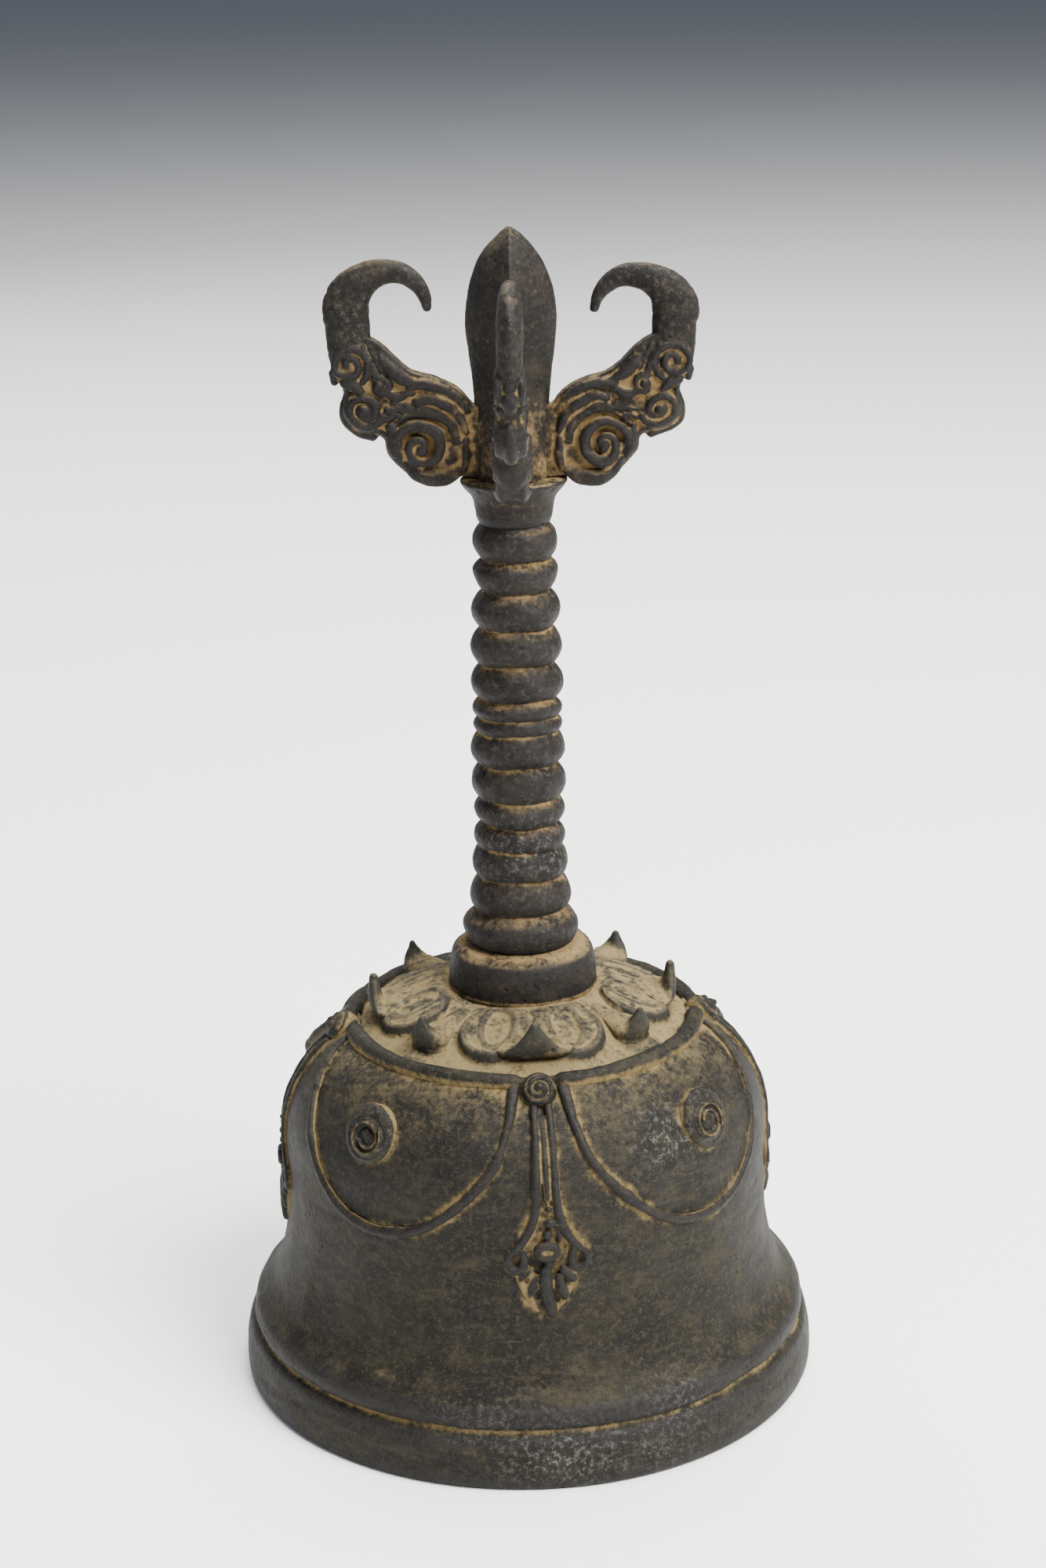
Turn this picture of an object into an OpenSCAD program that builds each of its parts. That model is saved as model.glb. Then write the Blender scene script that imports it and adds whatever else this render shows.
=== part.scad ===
// Javanese-style bronze hand bell: a thin domed cup with cast ornament, a ringed grip,
// a finial of four hooked prongs round a bud, and an iron clapper hanging inside.
// Units are millimetres. The origin is the centre of the mouth, and +Z is up.

/* [Bell cup] */
// Radius of the lip at the mouth
rim_r = 48; // [44:0.5:52]
// Thickness of the lip where it rests
lip_wall = 4; // [3:0.1:5]
// Radius of the straight waist
waist_r = 40; // [38:0.5:42]
// Height where the waist turns into the dome
dome_z = 42; // [40:0.5:44]
// Radius of the shoulder, where the dome ends
shoulder_r = 26; // [24:0.5:28]
// Thickness of the wall
wall = 4.2; // [3.5:0.1:5]

/* [Handle] */
// Radius of the disc under the grip
collar_r = 12.1; // [11.5:0.1:13]
// Height of the disc's underside
collar_z = 67; // [66.5:0.5:67.5]
// Height of the grip's lowest ring
grip_z = 74.3; // [74:0.1:75]
// Height of the flat top of the hub
hub_top_z = 151.2; // [151:0.1:152]
// Height of the bud's tip
bud_top_z = 190.3; // [188:0.1:192]
// How far the finial is turned on the tang, away from the bell's front
finial_turn = -5; // [-8:0.5:8]

/* [Prongs] */
// How far the centreline of each hook stands out beyond the hook's centre
hook_r = 6.95; // [6.5:0.05:7.3]
// How high the centreline of each hook rises above the hook's centre
hook_rise = 6; // [5.5:0.1:6.5]
// How far the tip of each hook curls back towards the bud from the hook's centre
hook_back = 5.6; // [5.2:0.1:6]
// Distance from the bell's axis to the centre of each hook
hook_out = 18.4; // [18:0.1:19]
// Height of the centre of each hook
hook_z = 176.8; // [176:0.1:178]
// Thickness of the openwork wing under each hook
wing_t = 5; // [4:0.1:6]

/* [Ornament] */
// Radius of the round bosses between the garlands
boss_r = 4.8; // [4:0.1:5.2]
// Radius of the studs on the shoulder
stud_r = 2.9; // [2.4:0.1:3.2]
// Radius of the garland cord
cord_r = 0.75; // [0.6:0.05:0.9]

/* [Clapper] */
// Radius of the staple's wire
staple_wire = 1.4; // [1.2:0.1:1.6]
// Radius of the link's wire
link_wire = 1.1; // [1:0.1:1.2]
// Radius of the link's ring, to the middle of its wire
link_r = 4.3; // [4.2:0.1:4.5]
// Radius of the ball at the clapper's end
bob_r = 9.5; // [8.5:0.1:10]
// Height of the middle of the ball
bob_z = 12.5; // [11.5:0.1:14]

/* [Hidden] */

$fn = 96;
cup_colour = [0.30, 0.27, 0.21];
handle_colour = [0.27, 0.26, 0.26];
iron_colour = [0.22, 0.17, 0.14];
dust_colour = [0.50, 0.42, 0.30];

QUARTERS = [0 : 90 : 270];
EIGHTHS = [45 : 90 : 315];

// The dome curves in from the top of the waist to the shoulder.
// A dome_power of 0.5 is a quarter ellipse, and more is a leaner curve.
dome_rise = 19.6;
dome_power = 0.68;
dome_end_z = 61.3;
inner_rise = 18.0;
crown_z = collar_z;
crown_inner_z = 60.5;
tang_r = 3;

// Radius of the outer face of the dome at height z.
function dome_r(z) = shoulder_r
    + (waist_r - shoulder_r) * pow(max(0, 1 - pow((z - dome_z) / dome_rise, 2)), dome_power);

// Radius of the outer face at height z, for ornament from the waist up.
function skin_r(z) = z <= dome_z ? waist_r : dome_r(z);

// Height of the sloping lotus field at radius r.
field_slope = (crown_z - dome_end_z) / (shoulder_r - collar_r);
function field_z(r) = dome_end_z + (shoulder_r - r) * field_slope;

// A point on the outer skin, turned by angle a from the front and lifted by d.
function on_skin(a, z, d = 0) = [(skin_r(z) + d) * sin(a), -(skin_r(z) + d) * cos(a), z];

// Catmull-Rom interpolation through the points of a list, n steps to each span.
function spline_at(p, i, t) =
    let (a = p[max(i - 1, 0)], b = p[i], c = p[i + 1], d = p[min(i + 2, len(p) - 1)])
    0.5 * (2 * b + (c - a) * t + (2 * a - 5 * b + 4 * c - d) * t * t
        + (3 * b - a - 3 * c + d) * t * t * t);
function spline(p, n) = concat(
    [for (i = [0 : len(p) - 2]) for (k = [0 : n - 1]) spline_at(p, i, k / n)],
    [p[len(p) - 1]]);

function unit(v) = v / norm(v);
function outward(p) = [p.x, p.y, 0];

// A tube of radius radii[i] at each point of a path. facing[i] is a direction across the
// path there, which keeps the rings from twisting.
module tube(path, radii, facing, sides) {
    last = len(path) - 1;
    rings = [for (i = [0 : last])
        let (t = unit(path[min(i + 1, last)] - path[max(i - 1, 0)]),
             u = unit(cross(facing[i], t)),
             v = cross(t, u))
        [for (k = [0 : sides - 1])
            path[i] + radii[i] * (cos(360 * k / sides) * u + sin(360 * k / sides) * v)]];
    points = [for (ring = rings) each ring];
    sides_faces = [for (i = [0 : last - 1]) for (k = [0 : sides - 1])
        let (a = i * sides + k, b = i * sides + (k + 1) % sides)
        [a, a + sides, b + sides, b]];
    cap_a = [[for (k = [0 : sides - 1]) k]];
    cap_b = [[for (k = [sides - 1 : -1 : 0]) last * sides + k]];
    polyhedron(points, concat(sides_faces, cap_a, cap_b), convexity = 6);
}

// ---------------------------------------------------------------- bell cup

// Outer face of the lower body: lip, tool-cut groove, band and the flare into the waist.
lip_h = 4;
groove_z = 9.1;
band_z = 11;
foot_profile = [
    [rim_r - 0.4, 0], [rim_r, 1], [rim_r, lip_h], [rim_r - 0.8, 8],
    [rim_r - 1.8, groove_z], [rim_r - 1.6, band_z], [rim_r - 3.4, 13.6],
    [waist_r + 2.4, 17], [waist_r + 1, 21], [waist_r + 0.35, 25], [waist_r, 31]];
dome_steps = 14;
dome_profile = [for (i = [0 : dome_steps])
    let (z = dome_z + (dome_end_z - dome_z) * i / dome_steps) [dome_r(z), z]];
inner_waist = waist_r - wall;
inner_shoulder = shoulder_r - wall;
inner_dome = [for (i = [dome_steps : -1 : 0])
    let (a = 90 * i / dome_steps)
    [inner_shoulder + (inner_waist - inner_shoulder) * cos(a), dome_z + inner_rise * sin(a)]];
inner_foot = [[inner_waist, 30], [inner_waist + 1.6, 18], [rim_r - lip_wall - 1.6, 9],
    [rim_r - lip_wall - 0.4, 1], [rim_r - lip_wall, 0]];

module bell_cup() {
    color(cup_colour)
        rotate_extrude($fn = 180)
            polygon(concat(
                foot_profile, dome_profile,
                [[collar_r, crown_z], [tang_r, crown_z], [tang_r, crown_inner_z],
                 [inner_shoulder - 4, crown_inner_z]],
                inner_dome, inner_foot));
}

// Raised cord round the shoulder.
ring_tube = 1.5;
ring_r = 28.3;
ring_z = dome_z + dome_rise
    * sqrt(1 - pow((ring_r - shoulder_r) / (waist_r - shoulder_r), 1 / dome_power)) - 0.2;
module shoulder_ring() {
    color(cup_colour)
        translate([0, 0, ring_z])
            rotate_extrude($fn = 180)
                translate([ring_r, 0])
                    circle(ring_tube, $fn = 24);
}

// ---------------------------------------------------------------- lotus

petal_out = 17.9;
lobe_r = 5.6;
lobe_side = 6.1;
petal_lift = 1.5;

// A band that follows the field, from just inside it to petal_lift above it.
module field_band(lift) {
    rotate_extrude($fn = 180)
        polygon([[collar_r + 0.3, field_z(collar_r + 0.3) - 0.4],
            [25.8, field_z(25.8) - 0.4],
            [25.8, field_z(25.8) + lift],
            [collar_r + 0.3, field_z(collar_r + 0.3) + lift]]);
}

module petal_outline() {
    for (side = [-1, 1])
        translate([side * lobe_side, -petal_out])
            circle(lobe_r, $fn = 48);
    polygon([[-lobe_side - lobe_r, -petal_out], [lobe_side + lobe_r, -petal_out],
        [5.4, -collar_r + 3], [-5.4, -collar_r + 3]]);
}

module lotus_petals() {
    color(dust_colour)
        for (a = QUARTERS)
            rotate(a)
                intersection() {
                    field_band(petal_lift);
                    translate([0, 0, 55])
                        linear_extrude(20)
                            petal_outline();
                }
}

// One upturned petal tip: a pointed plate that stands at radius r and leans outward.
tip_t = 2.4;
module petal_tip(r, width, height, lean) {
    translate([0, -r, field_z(r) - 0.3])
        rotate([90 + lean, 0, 0])
            translate([0, 0, -tip_t / 2])
                linear_extrude(tip_t)
                    polygon([[-width / 2, 0], [width / 2, 0], [width * 0.3, height * 0.38],
                        [width * 0.1, height * 0.72], [0.35, height], [-0.35, height],
                        [-width * 0.1, height * 0.72], [-width * 0.3, height * 0.38]]);
}

module lotus_tips() {
    color(dust_colour) {
        for (a = QUARTERS)
            rotate(a)
                petal_tip(24, 10.4, 6.4, 14);
        for (a = EIGHTHS)
            rotate(a)
                petal_tip(23.6, 5.8, 5.8, 20);
    }
}

// ---------------------------------------------------------------- garlands and pendants

// One garland from the front stud towards the stud on its right, as [angle, height] on the
// skin. It climbs again to the left of that stud, so the four are two mirrored pairs.
garland = [[7.5, 60.2], [8.6, 56], [11.5, 51], [17.5, 46], [24.5, 41.8], [32, 38.9],
    [41, 37.9], [50, 39], [57.5, 42.2], [64.5, 47.5], [71, 53], [77, 57.6], [80, 60]];
garland_steps = 3;
module garland_cord() {
    line = [for (p = spline(garland, garland_steps)) on_skin(p[0], p[1], 0.15)];
    tube(line, [for (p = line) cord_r], [for (p = line) outward(p)], 8);
}

module swag_cords() {
    color(cup_colour)
        for (a = [0, 180])
            rotate(a)
                for (side = [0, 1])
                    mirror([side, 0, 0])
                        garland_cord();
}

// Tilt of the dome's outward normal above the horizontal, at height z.
function skin_tilt(z) = let (step = 0.05)
    atan2(dome_r(z - step) - dome_r(z + step), 2 * step);

// A round knob on the skin at height z: a ball whose centre is sunk below the skin, cut
// off at its root so that it ends inside the wall.
knob_root = 2.2;
module knob(z, ball_r, sunk, tilt) {
    translate([0, -skin_r(z), z])
        rotate([90 - tilt, 0, 0])
            intersection() {
                translate([0, 0, -sunk])
                    sphere(ball_r, $fn = 64);
                translate([0, 0, -knob_root])
                    cylinder(h = 2 * ball_r, r = ball_r + 1);
            }
}

boss_z = 52.5;
boss_sunk = 2.2;
module spiral_bosses() {
    color(cup_colour)
        for (a = EIGHTHS)
            rotate(a)
                knob(boss_z, boss_r, boss_sunk, skin_tilt(boss_z));
}

stud_z = 60;
stud_tilt = 35;
module shoulder_studs() {
    color(cup_colour)
        for (a = QUARTERS)
            rotate(a)
                knob(stud_z, stud_r, 0, stud_tilt);
}

// Half-width of the pair of pendant cords at each height.
pendant_line = [[1.1, 58], [1.4, 54], [1.7, 50], [2.4, 45], [3.8, 40.5], [5.7, 37.4]];
function across_skin(x, z, d) =
    let (r = skin_r(z) + d) [x, -sqrt(r * r - x * x), z];
module pendant_cords() {
    color(cup_colour)
        for (a = QUARTERS)
            rotate(a)
                for (side = [-1, 1]) {
                    line = [for (p = spline(pendant_line, 3)) across_skin(side * p[0], p[1], 0.2)];
                    tube(line, [for (p = line) cord_r], [for (p = line) outward(p)], 8);
                }
}

// Beads hang between the cords; the last one is the knot above the tassel.
bead_list = [[0, 47.3, 0.7], [0, 45.5, 0.8], [0, 43.6, 0.9], [0, 41.9, 0.9], [0, 38, 1.9],
    [-5.2, 35.6, 1.6], [5.2, 35.6, 1.6]];
module pendant_beads() {
    color(cup_colour)
        for (a = QUARTERS)
            rotate(a)
                for (bead = bead_list)
                    translate(across_skin(bead[0], bead[1], -0.1 * bead[2]))
                        sphere(bead[2], $fn = 32);
}

tassel_t = 1.1;
module pendant_tassels() {
    color(cup_colour)
        for (a = QUARTERS)
            rotate(a)
                intersection() {
                    difference() {
                        cylinder(h = 50, r = waist_r + tassel_t, $fn = 180);
                        translate([0, 0, -1])
                            cylinder(h = 52, r = waist_r - 0.6, $fn = 180);
                    }
                    translate([0, -30, 0])
                        rotate([90, 0, 0])
                            linear_extrude(20)
                                polygon([[-3.4, 36.4], [3.4, 36.4], [4.6, 34], [3, 30.4],
                                    [0.6, 25.2], [-0.6, 25.2], [-3, 30.4], [-4.6, 34]]);
                }
}

// ---------------------------------------------------------------- handle

collar_h = 6.6;
module handle_collar() {
    color(handle_colour)
        rotate_extrude($fn = 120)
            polygon([[tang_r, collar_z], [collar_r, collar_z], [collar_r, collar_z + 2.6],
                [collar_r - 0.9, collar_z + collar_h], [9.6, grip_z], [tang_r, grip_z]]);
}

// Rings of the grip from the bottom up: groove radius, crest height, crest radius.
grip_rings = [
    [8.4, 77.3, 9.4], [7.6, 82.6, 8.3], [7.2, 88.3, 7.8], [7.2, 93, 7.4], [6.3, 97.3, 7.4],
    [6.8, 102, 7.5], [6.5, 107.3, 7.5], [6.8, 111.5, 7.1], [6.8, 114.2, 7.2],
    [6.4, 118.4, 7.4], [6.1, 124.2, 7.3], [6, 130, 7], [5.5, 136.2, 6.6], [5.6, 140.8, 6.6]];
// Heights of the grooves below each ring, and of the neck above the last one.
groove_heights = [grip_z, 80.3, 86.1, 91.2, 95.1, 99.3, 104.8, 110.2, 112.8, 115.7, 121.4,
    127.2, 133.1, 138, 144];
hub_base_r = 5.5;
ring_steps = 4;
tang_top_z = 108;

// One ring: a quarter ellipse up to the crest and another down to the next groove.
function ring_curve(i) =
    let (g0 = grip_rings[i][0], zc = grip_rings[i][1], c = grip_rings[i][2],
         z0 = groove_heights[i], z1 = groove_heights[i + 1],
         g1 = i + 1 < len(grip_rings) ? grip_rings[i + 1][0] : hub_base_r)
    concat(
        [for (k = [0 : ring_steps])
            let (a = 90 * k / ring_steps) [g0 + (c - g0) * sin(a), zc - (zc - z0) * cos(a)]],
        [for (k = [1 : ring_steps - 1])
            let (a = 90 * k / ring_steps) [g1 + (c - g1) * cos(a), zc + (z1 - zc) * sin(a)]]);

module handle_grip() {
    color(handle_colour)
        rotate_extrude($fn = 96)
            polygon(concat(
                [[tang_r, grip_z]],
                [for (i = [0 : len(grip_rings) - 1]) each ring_curve(i)],
                [[hub_base_r, groove_heights[len(grip_rings)]],
                 [0, groove_heights[len(grip_rings)]],
                 [0, tang_top_z], [tang_r, tang_top_z]]));
}

hub_z = 144;
module prong_hub() {
    color(handle_colour)
        rotate_extrude($fn = 96)
            polygon([[0, hub_z], [hub_base_r, hub_z], [6, 145.7], [6.25, 147.5], [6.8, 148.5],
                [7.8, 149.7], [8.4, 150.7], [8.3, hub_top_z], [0, hub_top_z]]);
}

// The bud: eight-point rings whose main corners face the four prongs.
bud_profile = [[5.5, 151.2], [5.7, 160], [5.9, 166], [6.6, 171.2], [7.1, 176.5],
    [6.6, 180.4], [5.5, 183.8], [3.1, 187.6], [1.3, 189.6], [0.3, bud_top_z]];
bud_flat = 0.76;
module centre_prong() {
    profile = [for (p = spline(bud_profile, 2)) p];
    last = len(profile) - 1;
    points = [for (p = profile) for (k = [0 : 7])
        let (r = p[0] * (k % 2 == 0 ? 1 : bud_flat)) [r * cos(45 * k), r * sin(45 * k), p[1]]];
    walls = [for (i = [0 : last - 1]) for (k = [0 : 7])
        let (a = 8 * i + k, b = 8 * i + (k + 1) % 8)
        [a, a + 8, b + 8, b]];
    color(handle_colour)
        rotate(finial_turn)
            polyhedron(points,
                concat(walls, [[for (k = [0 : 7]) k]], [[for (k = [7 : -1 : 0]) 8 * last + k]]));
}

// ---------------------------------------------------------------- hooked prongs

// Centreline of a hook, as [distance from the axis, height], from the wing to the tip.
hook_start = -10;
hook_end = 172;
hook_steps = 16;
hook_line = concat([[23.6, 167], [25, 171.5]],
    [for (i = [0 : hook_steps])
        let (a = hook_start + (hook_end - hook_start) * i / hook_steps)
        [hook_out + (a < 90 ? hook_r : hook_back) * cos(a), hook_z + hook_rise * sin(a)]]);
hook_thick = 3.7;
hook_tip = 0.5;
hook_taper = 0.95;

// Openwork wing: the smooth top edge, then the scalloped lower edge back to the hub.
wing_outline = [[5.2, 162.5], [8.3, 165.3], [11.3, 166.9], [15, 168], [17.3, 169.5],
    [19.4, 171.7], [21.8, 173.3], [25, 173.5], [27.4, 170], [26.4, 166.8], [24.6, 164],
    [25, 161.2], [23, 159.2], [18.6, 158.2], [17.6, 155], [15.4, 152.4], [12.8, 150.9],
    [10, 150.7], [8.6, hub_top_z], [5.2, hub_top_z]];

// Scroll eyes on both faces of the wing: distance from the axis, height, radius.
scrolls = [[24.6, 169, 2.5], [22.4, 161.7, 2.9], [13.4, 156.2, 4.6], [11.6, 152.7, 2.1],
    [18.6, 164.4, 1.9], [16.8, 155, 1.6]];
scroll_t = 6.6;

// A prong that points along +X, turned to its own side by rotate().
module prong() {
    color(handle_colour) {
        tube([for (p = hook_line) [p[0], 0, p[1]]],
            [for (i = [0 : len(hook_line) - 1])
                hook_tip + (hook_thick - hook_tip) * pow(1 - i / (len(hook_line) - 1), hook_taper)],
            [for (p = hook_line) [0, 1, 0]],
            12);
        rotate([90, 0, 0])
            translate([0, 0, -wing_t / 2])
                linear_extrude(wing_t)
                    polygon(wing_outline);
        for (s = scrolls)
            translate([s[0], 0, s[1]])
                rotate([90, 0, 0])
                    cylinder(h = scroll_t, r = s[2], center = true, $fn = 48);
    }
}

module right_prong() {
    rotate(finial_turn)
        prong();
}

module rear_prong() {
    rotate(90 + finial_turn)
        prong();
}

module left_prong() {
    rotate(180 + finial_turn)
        prong();
}

module front_prong() {
    rotate(270 + finial_turn)
        prong();
}

// ---------------------------------------------------------------- clapper

washer_t = 1.3;
washer_r = 9;
washer_z = crown_inner_z - washer_t;
staple_half = 6;
staple_bend = 2.2;
bar_z = 53.8;
run_gap = 0.3;

rivet_h = 0.8;
// Iron tang from the grip down through the crown and the washer, with a riveted end.
module handle_tang() {
    color(iron_colour) {
        translate([0, 0, washer_z - 0.1])
            cylinder(h = tang_top_z - washer_z + 0.1, r = tang_r);
        translate([0, 0, washer_z - rivet_h])
            cylinder(h = rivet_h, r1 = tang_r + 0.4, r2 = tang_r + 1);
    }
}

module crown_washer() {
    color(iron_colour)
        difference() {
            translate([0, 0, washer_z])
                cylinder(h = washer_t, r = washer_r);
            translate([0, 0, washer_z - 1])
                cylinder(h = washer_t + 2, r = tang_r);
            for (side = [-1, 1])
                translate([side * staple_half, 0, washer_z - 1])
                    cylinder(h = washer_t + 2, r = staple_wire);
        }
}

// U-shaped staple whose legs go through the washer into the crown.
staple_root = 2.5;
module clapper_staple() {
    color(iron_colour) {
        for (side = [-1, 1]) {
            translate([side * staple_half, 0, bar_z + staple_bend])
                cylinder(h = crown_inner_z + staple_root - bar_z - staple_bend, r = staple_wire);
            translate([side * (staple_half - staple_bend), 0, bar_z + staple_bend])
                rotate([-90, 0, 0])
                    rotate(side > 0 ? 0 : 90)
                        rotate_extrude(angle = 90)
                            translate([staple_bend, 0])
                                circle(staple_wire, $fn = 32);
        }
        translate([staple_bend - staple_half, 0, bar_z])
            rotate([0, 90, 0])
                cylinder(h = 2 * (staple_half - staple_bend), r = staple_wire);
    }
}

// The link hangs on the staple's bar, and the stem's eye hangs on the link's lowest point.
link_z = bar_z + staple_wire + link_wire + run_gap - link_r;
pivot_z = link_z - link_r;
module clapper_link() {
    color(iron_colour)
        translate([0, 0, link_z])
            rotate([0, 90, 0])
                rotate_extrude()
                    translate([link_r, 0])
                        circle(link_wire, $fn = 32);
}

eye_wire = 1.1;
eye_r = 3.2;
eye_gap = 0.4;
eye_z = pivot_z + link_wire + eye_gap + eye_wire - eye_r;
stem_top_r = 1.7;
stem_end_r = 2.3;
module clapper_stem() {
    stem_z = eye_z - eye_r;
    color(iron_colour) {
        translate([0, 0, eye_z])
            rotate([90, 0, 0])
                rotate_extrude()
                    translate([eye_r, 0])
                        circle(eye_wire, $fn = 32);
        translate([0, 0, bob_z + bob_r])
            cylinder(h = stem_z - bob_z - bob_r, r1 = stem_end_r, r2 = stem_top_r);
        translate([0, 0, bob_z - bob_r + 0.6])
            cylinder(h = 2 * bob_r - 0.6, r = stem_end_r);
    }
}

// Pear-shaped ball with a short neck, bored for the stem.
module clapper_bob() {
    color(iron_colour)
        difference() {
            union() {
                translate([0, 0, bob_z])
                    sphere(bob_r);
                translate([0, 0, bob_z + bob_r - 1.6])
                    cylinder(h = 3.2, r1 = 4.9, r2 = 3.1);
            }
            translate([0, 0, bob_z - bob_r - 1])
                cylinder(h = 2 * bob_r + 6, r = stem_end_r);
        }
}

bell_cup();
shoulder_ring();
lotus_petals();
lotus_tips();
swag_cords();
spiral_bosses();
shoulder_studs();
pendant_cords();
pendant_beads();
pendant_tassels();
handle_collar();
handle_grip();
prong_hub();
centre_prong();
left_prong();
right_prong();
front_prong();
rear_prong();
handle_tang();
crown_washer();
clapper_staple();
clapper_link();
clapper_stem();
clapper_bob();
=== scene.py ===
"""The looks of the bronze hand bell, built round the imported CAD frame.

All shapes are worked out in millimetres and turned into metres when a piece is made.
Bell axis is +Z, the front of the bell is -Y. Every relief is real geometry; the materials
add patina, dirt, dust and wear from values that are worked out for each vertex.
"""
import math

import bpy
import numpy as np
from mathutils import Matrix, Vector
from mathutils.kdtree import KDTree


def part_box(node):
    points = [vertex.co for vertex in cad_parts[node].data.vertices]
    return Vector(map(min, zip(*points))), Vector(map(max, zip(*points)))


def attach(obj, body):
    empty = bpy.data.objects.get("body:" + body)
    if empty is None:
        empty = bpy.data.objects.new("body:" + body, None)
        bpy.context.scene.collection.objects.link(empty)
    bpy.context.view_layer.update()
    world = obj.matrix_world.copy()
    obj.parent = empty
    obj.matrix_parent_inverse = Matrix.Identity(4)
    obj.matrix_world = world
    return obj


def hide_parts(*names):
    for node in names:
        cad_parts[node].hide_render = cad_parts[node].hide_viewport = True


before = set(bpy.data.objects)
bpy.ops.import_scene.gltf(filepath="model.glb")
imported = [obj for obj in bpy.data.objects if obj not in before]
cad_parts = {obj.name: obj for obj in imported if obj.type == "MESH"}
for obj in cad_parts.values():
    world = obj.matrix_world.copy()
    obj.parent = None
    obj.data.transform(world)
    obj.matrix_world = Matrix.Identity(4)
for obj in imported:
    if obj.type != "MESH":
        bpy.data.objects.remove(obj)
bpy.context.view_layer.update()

MM = 0.001
TAU = 2 * math.pi
QUARTERS = [0, 90, 180, 270]
EIGHTHS = [45, 135, 225, 315]

# ---- driving sizes, in mm

RIM_R = 47.93
WAIST_R = 40.0
DOME_Z = 42.0
DOME_RISE = 19.6
DOME_POWER = 0.68
DOME_END_Z = 61.3
SHOULDER_R = 26.0
WALL = 4.2
COLLAR_R = 12.1
COLLAR_Z = 67.0
GRIP_Z = 74.3
HUB_Z = 144.0
HUB_TOP_Z = 151.2
BUD_TOP_Z = 190.05
FINIAL_TURN = -5
RING_R = 28.3
RING_Z = 60.7
STUD_Z = 60.0
STUD_R = 2.9
BOSS_Z = 52.5
BOSS_R = 4.9
CORD_R = 0.8

# ---- noise and curves


def lattice(x, y, z, seed):
    """A repeatable value from -1 to 1 for each whole-number point."""
    h = (x * 374761393 + y * 668265263 + z * 1440662683 + seed * 974634777) & 0xFFFFFFFF
    h = ((h ^ (h >> 13)) * 1274126177) & 0xFFFFFFFF
    h = ((h ^ (h >> 16)) * 2246822519) & 0xFFFFFFFF
    return ((h >> 8) & 0xFFFF) / 32767.5 - 1


def noise(p, size, seed=0):
    """Smooth value noise from -1 to 1 with features of about size mm, at points p (..., 3)."""
    q = np.asarray(p, float) / size + 1000
    base = np.floor(q).astype(np.int64)
    f = q - base
    f = f * f * (3 - 2 * f)
    total = 0
    for corner in np.ndindex(2, 2, 2):
        value = lattice(*np.moveaxis(base + corner, -1, 0), seed)
        for k in range(3):
            value = value * (f[..., k] if corner[k] else 1 - f[..., k])
        total = total + value
    return total


def spline(points, steps):
    """Catmull-Rom curve through points, steps samples to each span."""
    p = np.asarray(points, float)
    padded = np.vstack([2 * p[0] - p[1], p, 2 * p[-1] - p[-2]])
    t = np.linspace(0, 1, steps, endpoint=False)[:, None]
    spans = []
    for a, b, c, d in zip(padded[:-3], padded[1:-2], padded[2:-1], padded[3:]):
        spans.append(0.5 * (2 * b + (c - a) * t + (2 * a - 5 * b + 4 * c - d) * t ** 2
                            + (3 * b - a - 3 * c + d) * t ** 3))
    return np.vstack(spans + [p[-1:]])


def evenly(points, step):
    """The same line with samples about step mm apart."""
    p = np.asarray(points, float)
    run = np.concatenate([[0], np.cumsum(np.linalg.norm(np.diff(p, axis=0), axis=1))])
    s = np.linspace(0, run[-1], max(3, int(round(run[-1] / step)) + 1))
    return np.stack([np.interp(s, run, p[:, k]) for k in range(p.shape[1])], 1)


def resampled(values, count):
    """The same run of values with count samples."""
    return np.interp(np.linspace(0, 1, count), np.linspace(0, 1, len(values)), values)


def full_turn(count):
    """Angles of even steps round a circle."""
    return np.linspace(0, TAU, count, endpoint=False)


def xyz(x, y, z):
    """Points (..., 3) from their coordinates, any of which may be a single number."""
    return np.stack(np.broadcast_arrays(x, y, z), -1)


def from_axis(p):
    """Level distance of points from the bell's axis."""
    return np.hypot(p[:, 0], p[:, 1])


def hump(x, centre, width):
    """1 at centre, falling off smoothly over about width on both sides."""
    return np.exp(-((x - centre) / width) ** 2)


def layered(p, seed, *layers):
    """A sum of noises of rising seed, each given as (amount, size in mm)."""
    return sum(amount * noise(p, size, seed + k) for k, (amount, size) in enumerate(layers))


def ramp(x, low, high):
    """0 below low, 1 above high, smooth between."""
    t = np.clip((x - low) / (high - low), 0, 1)
    return t * t * (3 - 2 * t)


def turned(p, degrees):
    """Points turned about the bell's axis, counter-clockwise seen from above."""
    a = math.radians(degrees)
    rot = np.array([[math.cos(a), -math.sin(a), 0], [math.sin(a), math.cos(a), 0], [0, 0, 1]])
    return np.asarray(p, float) @ rot.T


def turned_part(part, degrees):
    """A (verts, quads, tris) part turned about the bell's axis."""
    return (turned(part[0], degrees), *part[1:])


# ---- meshes


def closed_rows(rows, ring=False):
    """Vertices and faces of a closed skin through rows of points (rows, around, 3).

    With ring the last row joins the first, otherwise a pole closes each end.
    """
    rows = np.asarray(rows, float)
    nv, nu = rows.shape[:2]
    verts = rows.reshape(-1, 3)
    v = np.arange(nv if ring else nv - 1)[:, None]
    u = np.arange(nu)[None, :]
    low, high = v * nu, (v + 1) % nv * nu
    quads = np.stack([low + u, low + (u + 1) % nu, high + (u + 1) % nu, high + u], -1)
    tris = np.zeros((0, 3), int)
    if not ring:
        verts = np.vstack([verts, rows[0].mean(0), rows[-1].mean(0)])
        first, last = nv * nu, nv * nu + 1
        u = np.arange(nu)
        top = (nv - 1) * nu
        tris = np.vstack([
            np.stack([(u + 1) % nu, u, np.full(nu, first)], 1),
            np.stack([top + u, top + (u + 1) % nu, np.full(nu, last)], 1)])
    return verts, quads.reshape(-1, 4), tris


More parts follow.
